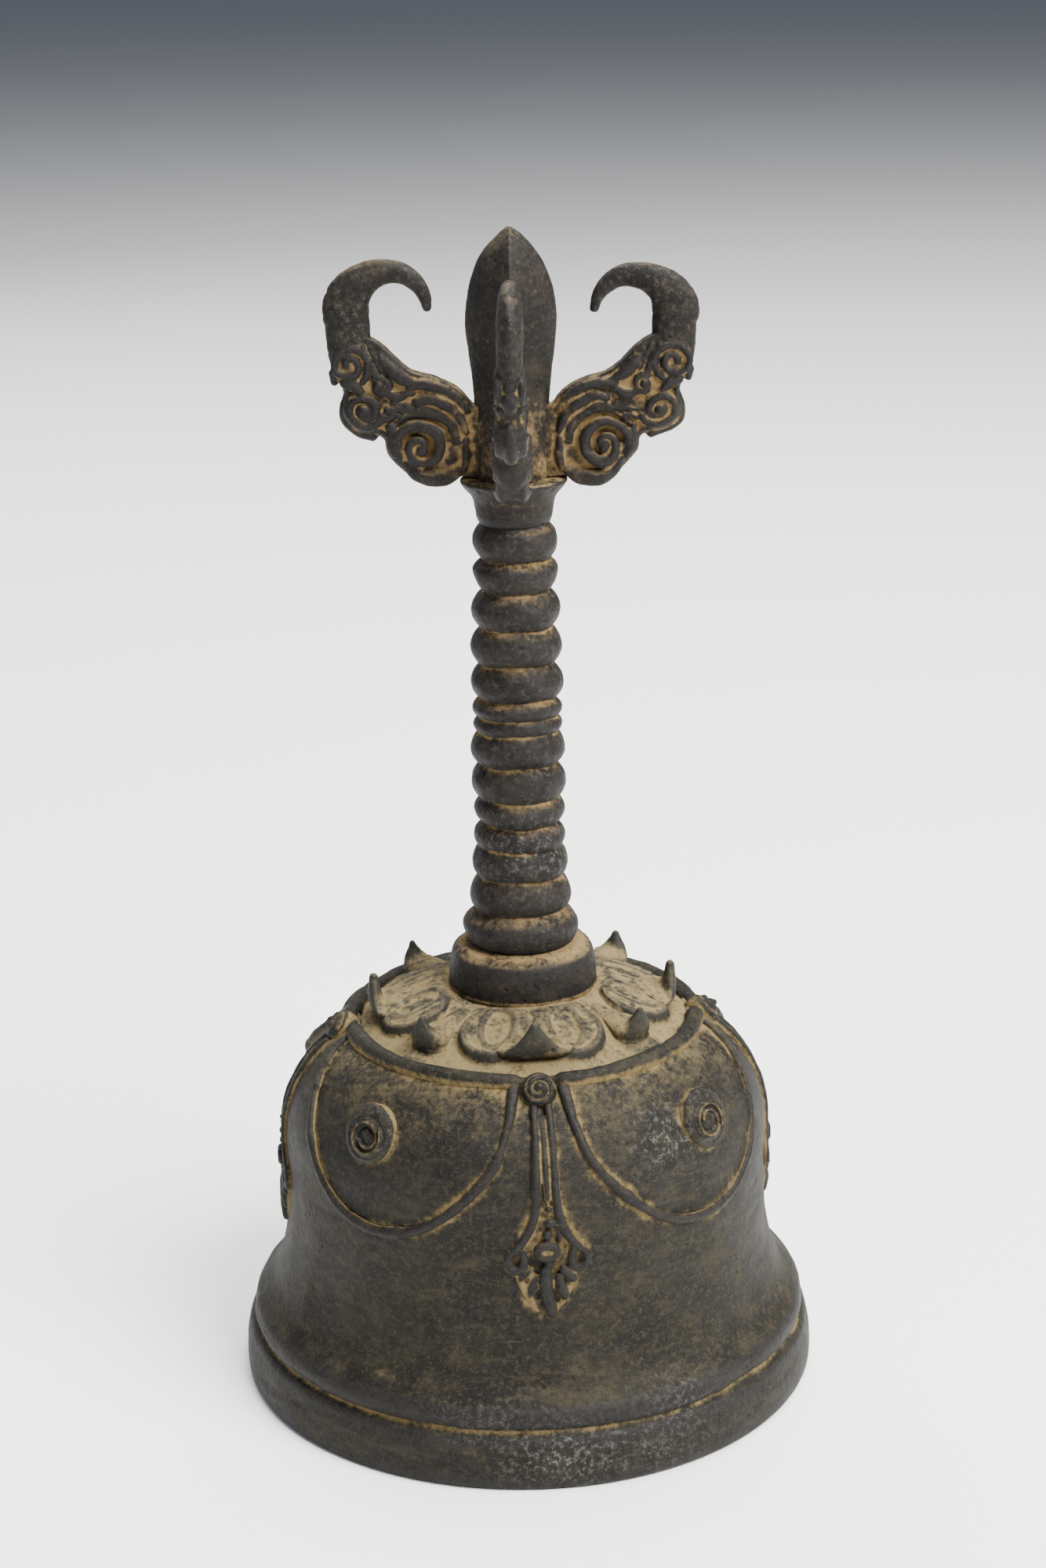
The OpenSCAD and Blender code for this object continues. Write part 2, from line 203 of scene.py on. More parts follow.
def gather(parts):
    """Several (verts, quads, tris) as one."""
    verts, quads, tris, count = [], [], [], 0
    for v, q, t in parts:
        verts.append(v)
        quads.append(q + count)
        tris.append(t + count)
        count += len(v)
    return np.vstack(verts), np.vstack(quads), np.vstack(tris)


def make_mesh(name, part):
    """A Blender mesh, in metres, from (verts, quads, tris) in mm."""
    verts, quads, tris = part
    mesh = bpy.data.meshes.new(name)
    mesh.vertices.add(len(verts))
    mesh.vertices.foreach_set("co", (verts * MM).astype(np.float32).ravel())
    loops = np.concatenate([quads.ravel(), tris.ravel()]).astype(np.int32)
    mesh.loops.add(len(loops))
    mesh.loops.foreach_set("vertex_index", loops)
    starts = np.concatenate([np.arange(len(quads)) * 4,
                             len(quads) * 4 + np.arange(len(tris)) * 3]).astype(np.int32)
    mesh.polygons.add(len(starts))
    mesh.polygons.foreach_set("loop_start", starts)
    mesh.update(calc_edges=True)
    mesh.validate()
    return mesh


def rows_of(items, key, width, kind=np.float32):
    """One property of every vertex or edge, as rows of width numbers."""
    values = np.zeros(len(items) * width, kind)
    items.foreach_get(key, values)
    return values.reshape(-1, width)


def coordinates(mesh):
    return rows_of(mesh.vertices, "co", 3).astype(float) / MM


def normals(mesh):
    return rows_of(mesh.vertices, "normal", 3).astype(float)


def set_coordinates(mesh, co):
    mesh.vertices.foreach_set("co", (co * MM).astype(np.float32).ravel())
    mesh.update()


def placed(name, data):
    """An object that shows data, linked to the scene."""
    thing = bpy.data.objects.new(name, data)
    bpy.context.scene.collection.objects.link(thing)
    return thing


def fused(name, part, voxel, smooth):
    """One skin round everything in part: overlapping shapes run together like wax."""
    source = placed(name, make_mesh(name, part))
    remesh = source.modifiers.new("fuse", "REMESH")
    remesh.mode = "VOXEL"
    remesh.voxel_size = voxel * MM
    remesh.adaptivity = 0
    soften = source.modifiers.new("soften", "SMOOTH")
    soften.factor = 0.5
    soften.iterations = smooth
    depsgraph = bpy.context.evaluated_depsgraph_get()
    mesh = bpy.data.meshes.new_from_object(source.evaluated_get(depsgraph))
    bpy.data.meshes.remove(source.data)
    mesh.name = name
    return mesh


def neighbour_mean(values, edges, count):
    """For each vertex, the mean of values over the vertices it shares an edge with."""
    a = np.concatenate([edges[:, 0], edges[:, 1]])
    b = np.concatenate([edges[:, 1], edges[:, 0]])
    total = np.stack([np.bincount(a, values[b, k], count) for k in range(values.shape[1])], 1)
    return total / np.maximum(np.bincount(a, minlength=count), 1)[:, None]


def cavity(mesh, reach):
    """How hollow each vertex lies, in mm, compared with its surroundings out to reach mm."""
    co, count = coordinates(mesh), len(mesh.vertices)
    edges = rows_of(mesh.edges, "vertices", 2, np.int32)
    spacing = np.median(np.linalg.norm(co[edges[:, 0]] - co[edges[:, 1]], axis=1))
    smooth = co
    for _ in range(int(np.clip((reach / spacing) ** 2, 2, 40))):
        smooth = neighbour_mean(smooth, edges, count)
    return ((smooth - co) * normals(mesh)).sum(1)


def cast_skin(mesh, wobble, grain, seed):
    """Gives a mesh the slight unevenness of a hand-finished lost-wax casting."""
    co, out = coordinates(mesh), normals(mesh)
    lift = layered(co, seed, (wobble, 9), (0.45 * wobble, 3.5), (grain, 1.1), (0.6 * grain, 0.6))
    lift -= 3.2 * grain * ramp(noise(co, 1.9, seed + 4), 0.62, 0.9)
    set_coordinates(mesh, co + out * lift[:, None])


def store(mesh, name, values):
    attribute = mesh.attributes.new(name, "FLOAT", "POINT")
    attribute.data.foreach_set("value", values.astype(np.float32))


def finish_piece(mesh, nodes, slot, body="bell", reach=0.9, dirt=None, bloom=None, dusty=1.0):
    """Turns a mesh into a piece of the same name, with the values its material reads."""
    co, out = coordinates(mesh), normals(mesh)
    hollow = cavity(mesh, reach)
    store(mesh, "hollow", np.clip(hollow / 0.12, -1, 1))
    sheltered = np.clip(hollow / 0.16, 0, 1) if dirt is None else dirt
    store(mesh, "dirt", np.clip(sheltered, 0, 1))
    store(mesh, "dust", dusty * ramp(out[:, 2] + 0.12 * noise(co, 2.4, 5), 0.45, 0.97))
    store(mesh, "bloom", np.zeros(len(co)) if bloom is None else bloom)
    mesh.polygons.foreach_set("use_smooth", np.ones(len(mesh.polygons), bool))
    mesh.materials.clear()
    mesh.materials.append(METALS[slot])
    piece = placed(mesh.name, mesh)
    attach(piece, body)
    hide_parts(*nodes)


def tube(path, radii, sides, facing, squeeze=1.0):
    """A round-ended tube. facing is the direction in which squeeze scales its section."""
    p = np.asarray(path, float)
    radii = np.broadcast_to(radii, (len(p),)).astype(float)
    t = np.gradient(p, axis=0)
    t /= np.linalg.norm(t, axis=1)[:, None]
    facing = np.broadcast_to(facing, p.shape)
    u = np.cross(facing, t)
    u /= np.linalg.norm(u, axis=1)[:, None]
    v = np.cross(t, u)
    a = full_turn(sides)
    squeeze = np.broadcast_to(squeeze, (len(p),))[:, None, None]
    section = np.cos(a)[None, :, None] * u[:, None] + squeeze * np.sin(a)[None, :, None] * v[:, None]
    rows = p[:, None] + radii[:, None, None] * section
    caps = []
    for end, way in ((0, -1), (-1, 1)):
        caps.append([p[end] + way * t[end] * radii[end] * math.sin(b)
                     + radii[end] * math.cos(b) * section[end] for b in (0.5, 1.0, 1.35)])
    return closed_rows(np.concatenate([caps[0][::-1], rows, caps[1]]))


def ball(centre, radius, squash, count):
    """A ball squashed to an ellipsoid, with count rows of points."""
    b = np.linspace(-math.pi / 2, math.pi / 2, count)[1:-1, None]
    a = full_turn(2 * count)[None, :]
    rows = xyz(np.cos(b) * np.cos(a), np.cos(b) * np.sin(a), np.sin(b))
    return closed_rows(np.asarray(centre) + radius * rows * np.asarray(squash))


def revolve(profile, around, ring=False):
    """A closed skin from a profile of (radius, height) points turned about the axis."""
    a = full_turn(around)
    p = np.asarray(profile, float)
    rows = xyz(p[:, :1] * np.cos(a), p[:, :1] * np.sin(a), p[:, 1:])
    return closed_rows(rows, ring)


def hoop(centre, spoke, across, fat, sides):
    """A closed loop of round section. spoke points outward at each point of centre."""
    b = full_turn(sides)[None, :, None]
    section = np.cos(b) * spoke[:, None] + np.sin(b) * np.array(across)
    return closed_rows(centre[:, None] + fat * section, ring=True)


# ---- the outer skin


def dome_r(z):
    inside = np.clip(1 - ((np.asarray(z, float) - DOME_Z) / DOME_RISE) ** 2, 0, 1)
    return SHOULDER_R + (WAIST_R - SHOULDER_R) * inside ** DOME_POWER


def skin_r(z):
    return np.where(np.asarray(z) < DOME_Z, WAIST_R, dome_r(z))


def field_z(r):
    """Height of the sloping lotus field, a little full between its edges."""
    t = (SHOULDER_R - np.asarray(r, float)) / (SHOULDER_R - COLLAR_R)
    return DOME_END_Z + t * (COLLAR_Z - DOME_END_Z) + 0.5 * np.sin(math.pi * np.clip(t, 0, 1))


def on_skin(degrees, z, lift=0.0):
    """Points on the dome or waist at an angle from the front, lifted by lift mm."""
    a = np.radians(np.asarray(degrees, float))
    r = skin_r(z) + lift
    return xyz(r * np.sin(a), -r * np.cos(a), z)


def across_skin(x, z, lift=0.0):
    """Points on the skin x mm to the side of the front line."""
    r = skin_r(z) + lift
    x = np.asarray(x, float)
    return xyz(x, -np.sqrt(r * r - x * x), z)


def outward(p):
    """Level direction away from the axis at each point."""
    q = np.array(p, float)
    q[..., 2] = 0
    return q / np.linalg.norm(q, axis=-1, keepdims=True)


# ---- materials


def new_material(name):
    material = bpy.data.materials.new(name)
    material.use_nodes = True
    tree = material.node_tree
    shader = tree.nodes["Principled BSDF"]
    return material, tree, shader


class Nodes:
    """Short calls for the shader nodes that the materials share."""

    def __init__(self, tree):
        self.tree = tree
        self.coords = tree.nodes.new("ShaderNodeTexCoord").outputs["Object"]

    def link(self, value, socket):
        """Feeds a socket with another node's output, or with a number, vector or (r, g, b)."""
        if isinstance(value, bpy.types.NodeSocket):
            self.tree.links.new(value, socket)
        else:
            socket.default_value = (*value, 1.0) if socket.type == "RGBA" else value

    def add(self, kind, output, inputs, **settings):
        """The named output of a new node with these settings and inputs."""
        node = self.tree.nodes.new("ShaderNode" + kind)
        for key, value in settings.items():
            setattr(node, key, value)
        for key, value in inputs.items():
            self.link(value, node.inputs[key])
        return node.outputs[output]

    def value(self, attribute):
        return self.add("Attribute", "Fac", {}, attribute_name=attribute)

    def math(self, kind, a, b, clamp=False):
        return self.add("Math", 0, {0: a, 1: b}, operation=kind, use_clamp=clamp)

    def times(self, a, b, clamp=False):
        return self.math("MULTIPLY", a, b, clamp)

    def plus(self, a, b):
        return self.math("ADD", a, b)

    def minus(self, a, b, clamp=False):
        return self.math("SUBTRACT", a, b, clamp)

    def stretched(self, scale):
        return self.add("Mapping", 0, {"Vector": self.coords, "Scale": scale})

    def noise(self, size, detail=3.0, roughness=0.6, where=None):
        """Noise from 0 to 1 with features of about size mm."""
        return self.add("TexNoise", "Fac", {"Vector": where or self.coords, "Detail": detail,
                                            "Scale": 1 / (size * MM), "Roughness": roughness})

    def spots(self, size):
        """Distance from the nearest of many scattered points, size mm apart."""
        return self.add("TexVoronoi", "Distance", {"Vector": self.coords, "Scale": 1 / (size * MM)})

    def fade(self, value, low, high):
        return self.add("MapRange", "Result", {"Value": value, "From Min": low, "From Max": high},
                        interpolation_type="SMOOTHSTEP")

    def mix(self, factor, a, b):
        return self.add("Mix", "Result", {"Factor": factor, "A": a, "B": b}, data_type="RGBA")

    def over(self, below, above, cover, strength):
        """Lays colour above over colour below where cover is 1, at part strength."""
        return self.mix(self.times(cover, strength), below, above)

    def bump(self, height, distance, strength):
        return self.add("Bump", "Normal", {"Height": height, "Distance": distance * MM,
                                           "Strength": strength})


SPECK = (0.20, 0.20, 0.195)


def aged_metal(name, clean, film, warm, dirt, dust, rubbed, ridge, metallic, brush=0.2,
               dust_amount=1.0):
    """Patinated cast metal: tarnish in clouds, earth in the hollows, dust on top, clean ridges."""
    material, tree, shader = new_material(name)
    n = Nodes(tree)
    blotch = n.noise(16, 4)
    cloud = n.noise(4.5, 5)
    grain = n.noise(0.9, 4, 0.7)
    fine = n.noise(0.32, 3, 0.7)
    # A thin brown film over the clean dark metal.
    cover = n.plus(n.times(blotch, 0.6), n.times(cloud, 0.5))
    colour = n.mix(n.fade(cover, 0.38, 0.72), clean, film)
    colour = n.over(colour, warm, n.fade(cloud, 0.5, 0.75), 0.6)
    # Rubbing round the bell has left the film in level streaks.
    brushed = n.noise(3.5, 6, 0.72, n.stretched((0.45, 0.45, 1.7)))
    colour = n.over(colour, warm, n.fade(brushed, 0.5, 0.66), brush)
    colour = n.over(colour, clean, n.fade(brushed, 0.5, 0.36), brush)
    colour = n.over(colour, warm, n.fade(grain, 0.5, 0.68), 0.7)
    colour = n.over(colour, clean, n.fade(grain, 0.48, 0.34), 0.6)
    colour = n.over(colour, rubbed, n.fade(fine, 0.58, 0.75), 0.5)
    # Fine tooling scratches that run round the bell.
    streaks = n.noise(2.6, 4, 0.7, n.stretched((0.35, 0.35, 9.0)))
    scratch = n.times(n.fade(streaks, 0.62, 0.7), n.fade(cloud, 0.35, 0.6))
    colour = n.over(colour, rubbed, scratch, 0.8)
    # Pits stay dark.
    pits = n.minus(1.0, n.fade(n.spots(2.3), 0.06, 0.2))
    pits = n.times(pits, n.fade(cloud, 0.4, 0.62))
    colour = n.over(colour, clean, pits, 0.7)
    # What stands proud is rubbed clean of the film.
    proud = n.fade(n.times(n.value("hollow"), -1.0), 0.05, 0.7)
    worn = n.times(proud, n.fade(grain, 0.25, 0.6))
    colour = n.over(colour, ridge, worn, 0.85)
    colour = n.over(colour, rubbed, n.fade(fine, 0.52, 0.7), 0.4)
    # Pale mineral specks.
    specks = n.times(n.fade(n.noise(0.9, 5, 0.8), 0.5, 0.66), n.value("bloom"), True)
    colour = n.over(colour, SPECK, specks, 0.45)
    # Earth in the hollows, broken up by the grain.
    broken = n.plus(n.times(n.fade(grain, 0.32, 0.68), 0.55),
                    n.times(n.fade(cloud, 0.35, 0.65), 0.45))
    spread = n.times(n.value("dirt"), n.plus(0.4, broken))
    earth = n.fade(spread, 0.2, 0.95)
    colour = n.over(colour, n.mix(n.fade(grain, 0.3, 0.7), dirt, dust), earth, 0.9)
    # Dry dust on what faces up.
    film_up = n.times(n.times(n.value("dust"), n.fade(broken, 0.1, 0.85)), dust_amount, True)
    colour = n.mix(film_up, colour, dust)
    n.link(colour, shader.inputs["Base Color"])
    dull = n.math("MAXIMUM", earth, film_up, True)
    metal = n.times(n.minus(1.0, dull), metallic)
    n.link(metal, shader.inputs["Metallic"])
    shader.inputs["Specular IOR Level"].default_value = 0.13
    rough = n.plus(0.50, n.times(cloud, 0.3))
    rough = n.plus(rough, n.times(dull, 0.35))
    rough = n.minus(rough, n.times(worn, 0.08), True)
    n.link(rough, shader.inputs["Roughness"])
    relief = n.plus(n.times(grain, 0.7), n.times(fine, 0.4))
    relief = n.minus(relief, n.times(pits, 0.9))
    relief = n.minus(relief, n.times(scratch, 0.3))
    n.link(n.bump(relief, 0.22, 0.9), shader.inputs["Normal"])
    return material


# The linear colours are clean metal, brown film, warm tarnish, earth, dust, rubbed marks and
# worn ridges. After them comes how metallic the piece is.
METALS = {
    "cup_bronze": aged_metal(
        "cup_bronze", (0.006, 0.0056, 0.0046), (0.0145, 0.0132, 0.0088), (0.035, 0.029, 0.017),
        (0.145, 0.098, 0.036), (0.145, 0.11, 0.052), (0.044, 0.042, 0.037),
        (0.0128, 0.0121, 0.0122), 0.12, brush=0.5),
    "dusty_bronze": aged_metal(
        "lotus_bronze", (0.011, 0.0105, 0.009), (0.031, 0.028, 0.018), (0.066, 0.053, 0.029),
        (0.142, 0.104, 0.043), (0.16, 0.124, 0.062), (0.045, 0.043, 0.036),
        (0.018, 0.017, 0.014), 0.08, dust_amount=0.8),
    "handle_bronze": aged_metal(
        "handle_bronze", (0.0062, 0.0057, 0.0052), (0.014, 0.0122, 0.0096),
        (0.033, 0.0255, 0.0165), (0.145, 0.086, 0.03), (0.165, 0.118, 0.056),
        (0.038, 0.035, 0.033), (0.0125, 0.0114, 0.0114), 0.14),
    "forged_iron": aged_metal(
        "forged_iron", (0.018, 0.014, 0.012), (0.045, 0.03, 0.021), (0.1, 0.042, 0.018),
        (0.17, 0.07, 0.025), (0.2, 0.13, 0.07), (0.09, 0.08, 0.075),
        (0.055, 0.048, 0.045), 0.5)}


# ---- bell cup

ORNAMENT_POINTS = []


def remember(mesh):
    """Keeps an ornament's points, so that dirt gathers on the cup beside it."""
    ORNAMENT_POINTS.append(coordinates(mesh))


def cup_profile():
    """Outer skin from the lip up to the crown, then the inner skin back down."""
    band = [(0.9, 0.05), (0.2, 0.5), (0, 1.6), (0.05, 4.2), (0.5, 7.0), (1.0, 8.4), (2.1, 9.15),
            (1.7, 9.9), (1.45, 11.0), (1.9, 12.5), (3.1, 13.7)]
    flare = [(3.3, 15.4), (2.2, 17.7), (1.2, 20.8), (0.5, 24.6), (0.12, 28.5), (0, 34), (0, DOME_Z)]
    foot = spline([(RIM_R - r, z) for r, z in band] + [(WAIST_R + r, z) for r, z in flare], 12)
    up = np.linspace(0, 0.9845, 90) ** 0.8
    dome = np.stack([dome_r(DOME_Z + DOME_RISE * up), DOME_Z + DOME_RISE * up], 1)
    r = np.linspace(SHOULDER_R + 1, 4, 60)
    crown = np.stack([r, field_z(np.maximum(r, COLLAR_R)) - 0.3], 1)
    outer = evenly(np.vstack([foot[:-1], dome, crown]), 0.58)
    a = np.linspace(math.pi / 2, 0, 30)
    inner_r, inner_top = WAIST_R - WALL, 21.8
    inner = np.vstack([
        [(4, 60.5), (10, 60.5), (17.8, 60.3)],
        np.stack([inner_top + (inner_r - inner_top) * np.cos(a), DOME_Z + 18 * np.sin(a)], 1),
        spline([(inner_r, 34), (inner_r + 0.4, 26), (inner_r + 1.8, 18), (RIM_R - 5.4, 9),
                (RIM_R - 4.4, 2.5), (RIM_R - 4.0, 0.5), (RIM_R - 3.6, 0.05)], 8)])
    return outer, evenly(inner, 1.5)


# Patches of pale specks: angle from the front, height, size and strength.
SPECKLED = [(33, 52, 6.0, 1.0), (2, 5.5, 7.5, 1.1), (22, 5, 8, 0.5), (-14, 10.5, 6, 0.45),
            (27, 12, 5, 0.6), (205, 47, 9, 0.6)]
BAND_CUT_Z = 9.25


def make_cup():
    around = 520
    outer, inner = cup_profile()
    part = revolve(np.vstack([outer, inner]), around, ring=True)
    mesh = make_mesh("bell_cup_visual", part)
    co = coordinates(mesh)
    out = normals(mesh)
    r = from_axis(co)
    outside = np.arange(len(co)) < len(outer) * around
    lift = layered(co, 21, (0.22, 17), (0.10, 6), (0.03, 1.6))
    # Shallow dents and hammer-like flats on the waist, and a wavering tool cut at the band.
    lift -= 0.35 * ramp(noise(co, 11, 24), 0.35, 0.9)
    lift -= 0.14 * ramp(noise(co * [0.35, 0.35, 2.6], 3.0, 25), 0.45, 0.8)
    lift *= np.where(outside, 1, 0.6) * ramp(co[:, 2], 0.0, 2.5)
    lift = np.where(co[:, 2] < 0.6, 0, lift)
    lift = np.minimum(lift, np.maximum(RIM_R - 0.1 - r, 0))
    set_coordinates(mesh, co + out * lift[:, None])
    co = coordinates(mesh)
    ornament = np.vstack(ORNAMENT_POINTS)
    tree = KDTree(len(ornament))
    for k, p in enumerate(ornament):
        tree.insert(p, k)
    tree.balance()
    near = np.full(len(co), 9.0)
    for i in np.flatnonzero(outside & (co[:, 2] > 20)):
        near[i] = tree.find(co[i])[2]
    patchy = np.clip(0.72 + layered(co, 26, (0.5, 7), (0.35, 2.2)), 0.15, 1.4)
    halo = patchy * (0.6 * np.exp(-np.maximum(near - 0.3, 0) / 0.42) + 0.34 * np.exp(-near / 2.4))
    groove = 0.85 * hump(co[:, 2], BAND_CUT_Z, 0.4) * outside * (r > 44) * patchy
    ledge = 0.2 * hump(co[:, 2], 15.0, 2.0) * outside * (patchy - 0.35)
    shoulder = 0.5 * ramp(co[:, 2], 56.5, 60.5) * outside * patchy
    dirt = np.maximum.reduce([halo, groove, ledge, shoulder])
    dirt = dirt + 0.5 * np.clip(cavity(mesh, 1.6) / 0.25, 0, 0.3)
    between = ramp(np.abs(np.degrees(np.arctan2(co[:, 0], -co[:, 1])) % 90 - 45), 28, 43)
    dirt = dirt + 0.16 * patchy * between * ramp(co[:, 2], 34, 50) * outside
    dirt = np.where(outside, dirt, 0.25 + 0.2 * noise(co, 8, 31))
    bloom = np.zeros(len(co))
    for angle, z, size, amount in SPECKLED:
        a = math.radians(angle)
        rr = float(skin_r(z)) if z > 30 else RIM_R - 1
        centre = np.array([rr * math.sin(a), -rr * math.cos(a), z])
        bloom += amount * np.exp(-(np.linalg.norm((co - centre) * [1, 1, 1.7], axis=1) / size) ** 2)
    finish_piece(mesh, ["bell_cup"], "cup_bronze", reach=1.4,
                 dirt=dirt, bloom=bloom * outside, dusty=0.36 * (0.12 + ramp(co[:, 2], 45, 59)))


# ---- shoulder cord


def make_shoulder_ring():
    a = full_turn(620)
    circle = xyz(np.sin(a), -np.cos(a), 0)
    fat = 1.5 + layered(circle * 28, 41, (0.14, 5), (0.07, 1.6))
    nick = ramp(noise(circle * 28, 3.6, 43), 0.55, 0.8)
    fat = fat - 0.35 * nick
    from_stud = np.abs((np.degrees(a) + 45) % 90 - 45)
    fat = fat * (0.62 + 0.38 * ramp(from_stud, 4.5, 8))
    centre = circle * (RING_R + 0.1 * noise(circle * 28, 9, 44))[:, None]
    centre[:, 2] = RING_Z + 0.15 * noise(circle * 28, 8, 45)
    loop = hoop(centre, circle, [0, 0, 1.0], fat[:, None, None], 28)
    mesh = make_mesh("shoulder_ring_visual", loop)
    cast_skin(mesh, 0.04, 0.03, 46)
    remember(mesh)
    co = coordinates(mesh)
    low = np.hypot(from_axis(co) - RING_R, (co[:, 2] - RING_Z))
    side = np.arctan2(co[:, 2] - RING_Z, np.abs(from_axis(co) - RING_R))
    dirt = ramp(-side, -0.75, 0.1) * ramp(low, 0.5, 1.2)
    finish_piece(mesh, ["shoulder_ring"], "cup_bronze", reach=0.8, dirt=0.9 * dirt, dusty=0.35)


# ---- lotus

LOBE = (6.1, 17.9)
LOBE_R = 5.75


def petal_height(x, y):
    """Relief of one double-lobed petal. x is across it and y outward from the axis."""
    ax = np.abs(x)
    lobe = np.hypot(ax - LOBE[0], (y - LOBE[1]) / 1.02)
    neck = np.maximum(ax - (5.6 + 0.92 * (y - 11.4)), y - LOBE[1])
    bridge = np.maximum(ax - LOBE[0], y - 23.2)
    edge = np.minimum(np.minimum(lobe - LOBE_R, neck), bridge)
    body = 1.15 * (1 - ramp(edge, -0.4, 0.15))
    rim = 0.4 * hump(edge, -0.75, 0.5) * ramp(y, 13.5, 18)
    oval = np.hypot((ax - 5.3 - 0.12 * (y - 17)) / 2.5, (y - 17.4) / 4.1)
    hollow = 0.32 * (1 - ramp(oval, 0.7, 1.0))
    outline = 0.2 * hump(oval, 1.14, 0.13)
    crease = 0.3 * hump(x, 0, 0.6) * ramp(19 - y, 0, 3)
    veins = 0.12 * np.cos(ax * 1.9) * ramp(15.5 - y, 0, 2.5) * (edge < 0)
    return body + rim - hollow + outline - crease + veins


def lotus_height(angle, r):
    """Height above the field, for angle from the front."""
    total = np.zeros_like(angle)
    for k in QUARTERS:
        d = (angle - math.radians(k) + math.pi) % TAU - math.pi
        near = np.abs(d) < 0.95
        total = np.maximum(total, np.where(near, petal_height(r * np.sin(d), r * np.cos(d)), 0))
    for k in EIGHTHS:
        d = (angle - math.radians(k) + math.pi) % TAU - math.pi
        x, y = r * np.sin(d), r * np.cos(d)
        leaf = 0.7 * np.exp(-(x / (0.5 + 0.26 * np.clip(y - 12, 0, 11))) ** 4) * ramp(y, 13, 17)
        total = np.maximum(total, np.where(np.abs(d) < 0.4, leaf, 0))
    return total


def make_lotus():
    a = full_turn(800)
    inner_r, outer_r = COLLAR_R - 1.2, SHOULDER_R + 1.3
    r = np.concatenate([np.linspace(inner_r, 14, 14), np.linspace(14, outer_r, 94)[1:]])
    angle, radius = np.meshgrid(a, r)
    height = lotus_height(angle, radius) * ramp(outer_r - radius, 0, 0.5)
    height *= 0.1 + 0.9 * ramp(radius, COLLAR_R, 14.8)
    flat = xyz(radius * np.sin(angle), -radius * np.cos(angle), 0)
    height += layered(flat, 50, (0.24, 6), (0.11, 2.2), (0.045, 0.9))
    top = flat.copy()
    top[..., 2] = field_z(radius) - 0.05 + height
    under = top[[-1, 0]].copy()
    under[..., 2] = np.stack([field_z(radius[-1]) - 0.9, field_z(radius[0]) - 0.9])
    rows = np.concatenate([top, under])[::-1]
    mesh = make_mesh("lotus_visual", closed_rows(rows, ring=True))
    remember(mesh)
    co, out = coordinates(mesh), normals(mesh)
    r = from_axis(co)
    level = cavity(mesh, 0.8)
    dirt = 0.66 + layered(co, 53, (0.3, 5), (0.3, 1.7)) + np.clip(level / 0.12, -0.5, 0.6)
    steep = ramp(0.75 - out[:, 2], 0, 0.3) * ramp(r, 18, 20)
    above = co[:, 2] - field_z(r)
    dirt = dirt - 0.75 * steep + 0.5 * (1 - ramp(above, 0.15, 0.7)) * ramp(r, 18, 21)
    from_front = np.abs(np.degrees(np.arctan2(co[:, 0], -co[:, 1])))
    rubbed = 0.16 + 0.2 * noise(co, 2.6, 57) + 0.2 * (1 - ramp(from_front, 25, 45))
    dirt = dirt - rubbed * ramp(above, 0.7, 1.2) * ramp(r, 14, 18)
    finish_piece(mesh, ["lotus_petals"], "dusty_bronze", reach=0.7, dirt=dirt, dusty=0.6)


def leaf_tip(path, widths, thicks):
    """A pointed leaf that lies on the field and turns up at its outer end.

    path gives distance from the axis and height above the field, from the inner end out.
    """
    line = spline([(v, 0.0, float(field_z(v)) + h) for v, h in path], 8)
    wide, thick = resampled(widths, len(line)), resampled(thicks, len(line))
    points = xyz(0, -line[:, 0], line[:, 2])
    t = np.gradient(points, axis=0)
    facing = np.cross(t, [1.0, 0, 0])
    return tube(points, wide, 26, facing, thick / wide)


def make_lotus_tips():
    broad = leaf_tip([(17.5, 0.1), (20.5, 0.8), (22.8, 1.0), (24.0, 1.9), (24.4, 3.9), (24.5, 6.4)],
                     [2.6, 4.6, 6.6, 5.2, 2.7, 0.8], [0.5, 0.7, 0.95, 1.15, 1.1, 0.75])
    narrow = leaf_tip([(17.5, 0.1), (20.2, 0.5), (22.4, 0.9), (23.6, 1.9), (24.3, 3.5), (24.6, 5.6)],
                      [1.5, 2.6, 3.4, 3.2, 2.1, 0.7], [0.5, 1.2, 2.0, 2.0, 1.4, 0.6])
    core = ball((0, -23.1, 62.5), 1.0, (3.5, 2.0, 1.9), 14)
    parts = [turned_part(broad, k) for k in QUARTERS]
    parts += [turned_part(part, k) for k in EIGHTHS for part in (narrow, core)]
    mesh = fused("lotus_tips_visual", gather(parts), 0.2, 3)
    cast_skin(mesh, 0.10, 0.045, 55)
    co, out = coordinates(mesh), normals(mesh)
    r = from_axis(co)
    above = co[:, 2] - field_z(np.clip(r, COLLAR_R, SHOULDER_R))
    outer = (out * outward(co)).sum(1)
    dirt = 0.85 - 0.7 * ramp(above, 2.0, 4.6) - 0.45 * ramp(outer, 0.1, 0.7)
    dirt += 0.25 * noise(co, 2, 56) + 0.5 * (1 - ramp(above, 0.1, 0.9))
    finish_piece(mesh, ["lotus_tips"], "dusty_bronze", reach=0.6, dirt=dirt, dusty=0.35)


# ---- garlands

GARLAND = [(7.5, 60.2), (8.6, 56), (11.5, 51), (17.5, 46), (24.5, 41.8), (32, 38.9), (41, 37.9),
           (50, 39), (57.5, 42.2), (64.5, 47.5), (71, 53), (77, 57.6), (80, 60)]


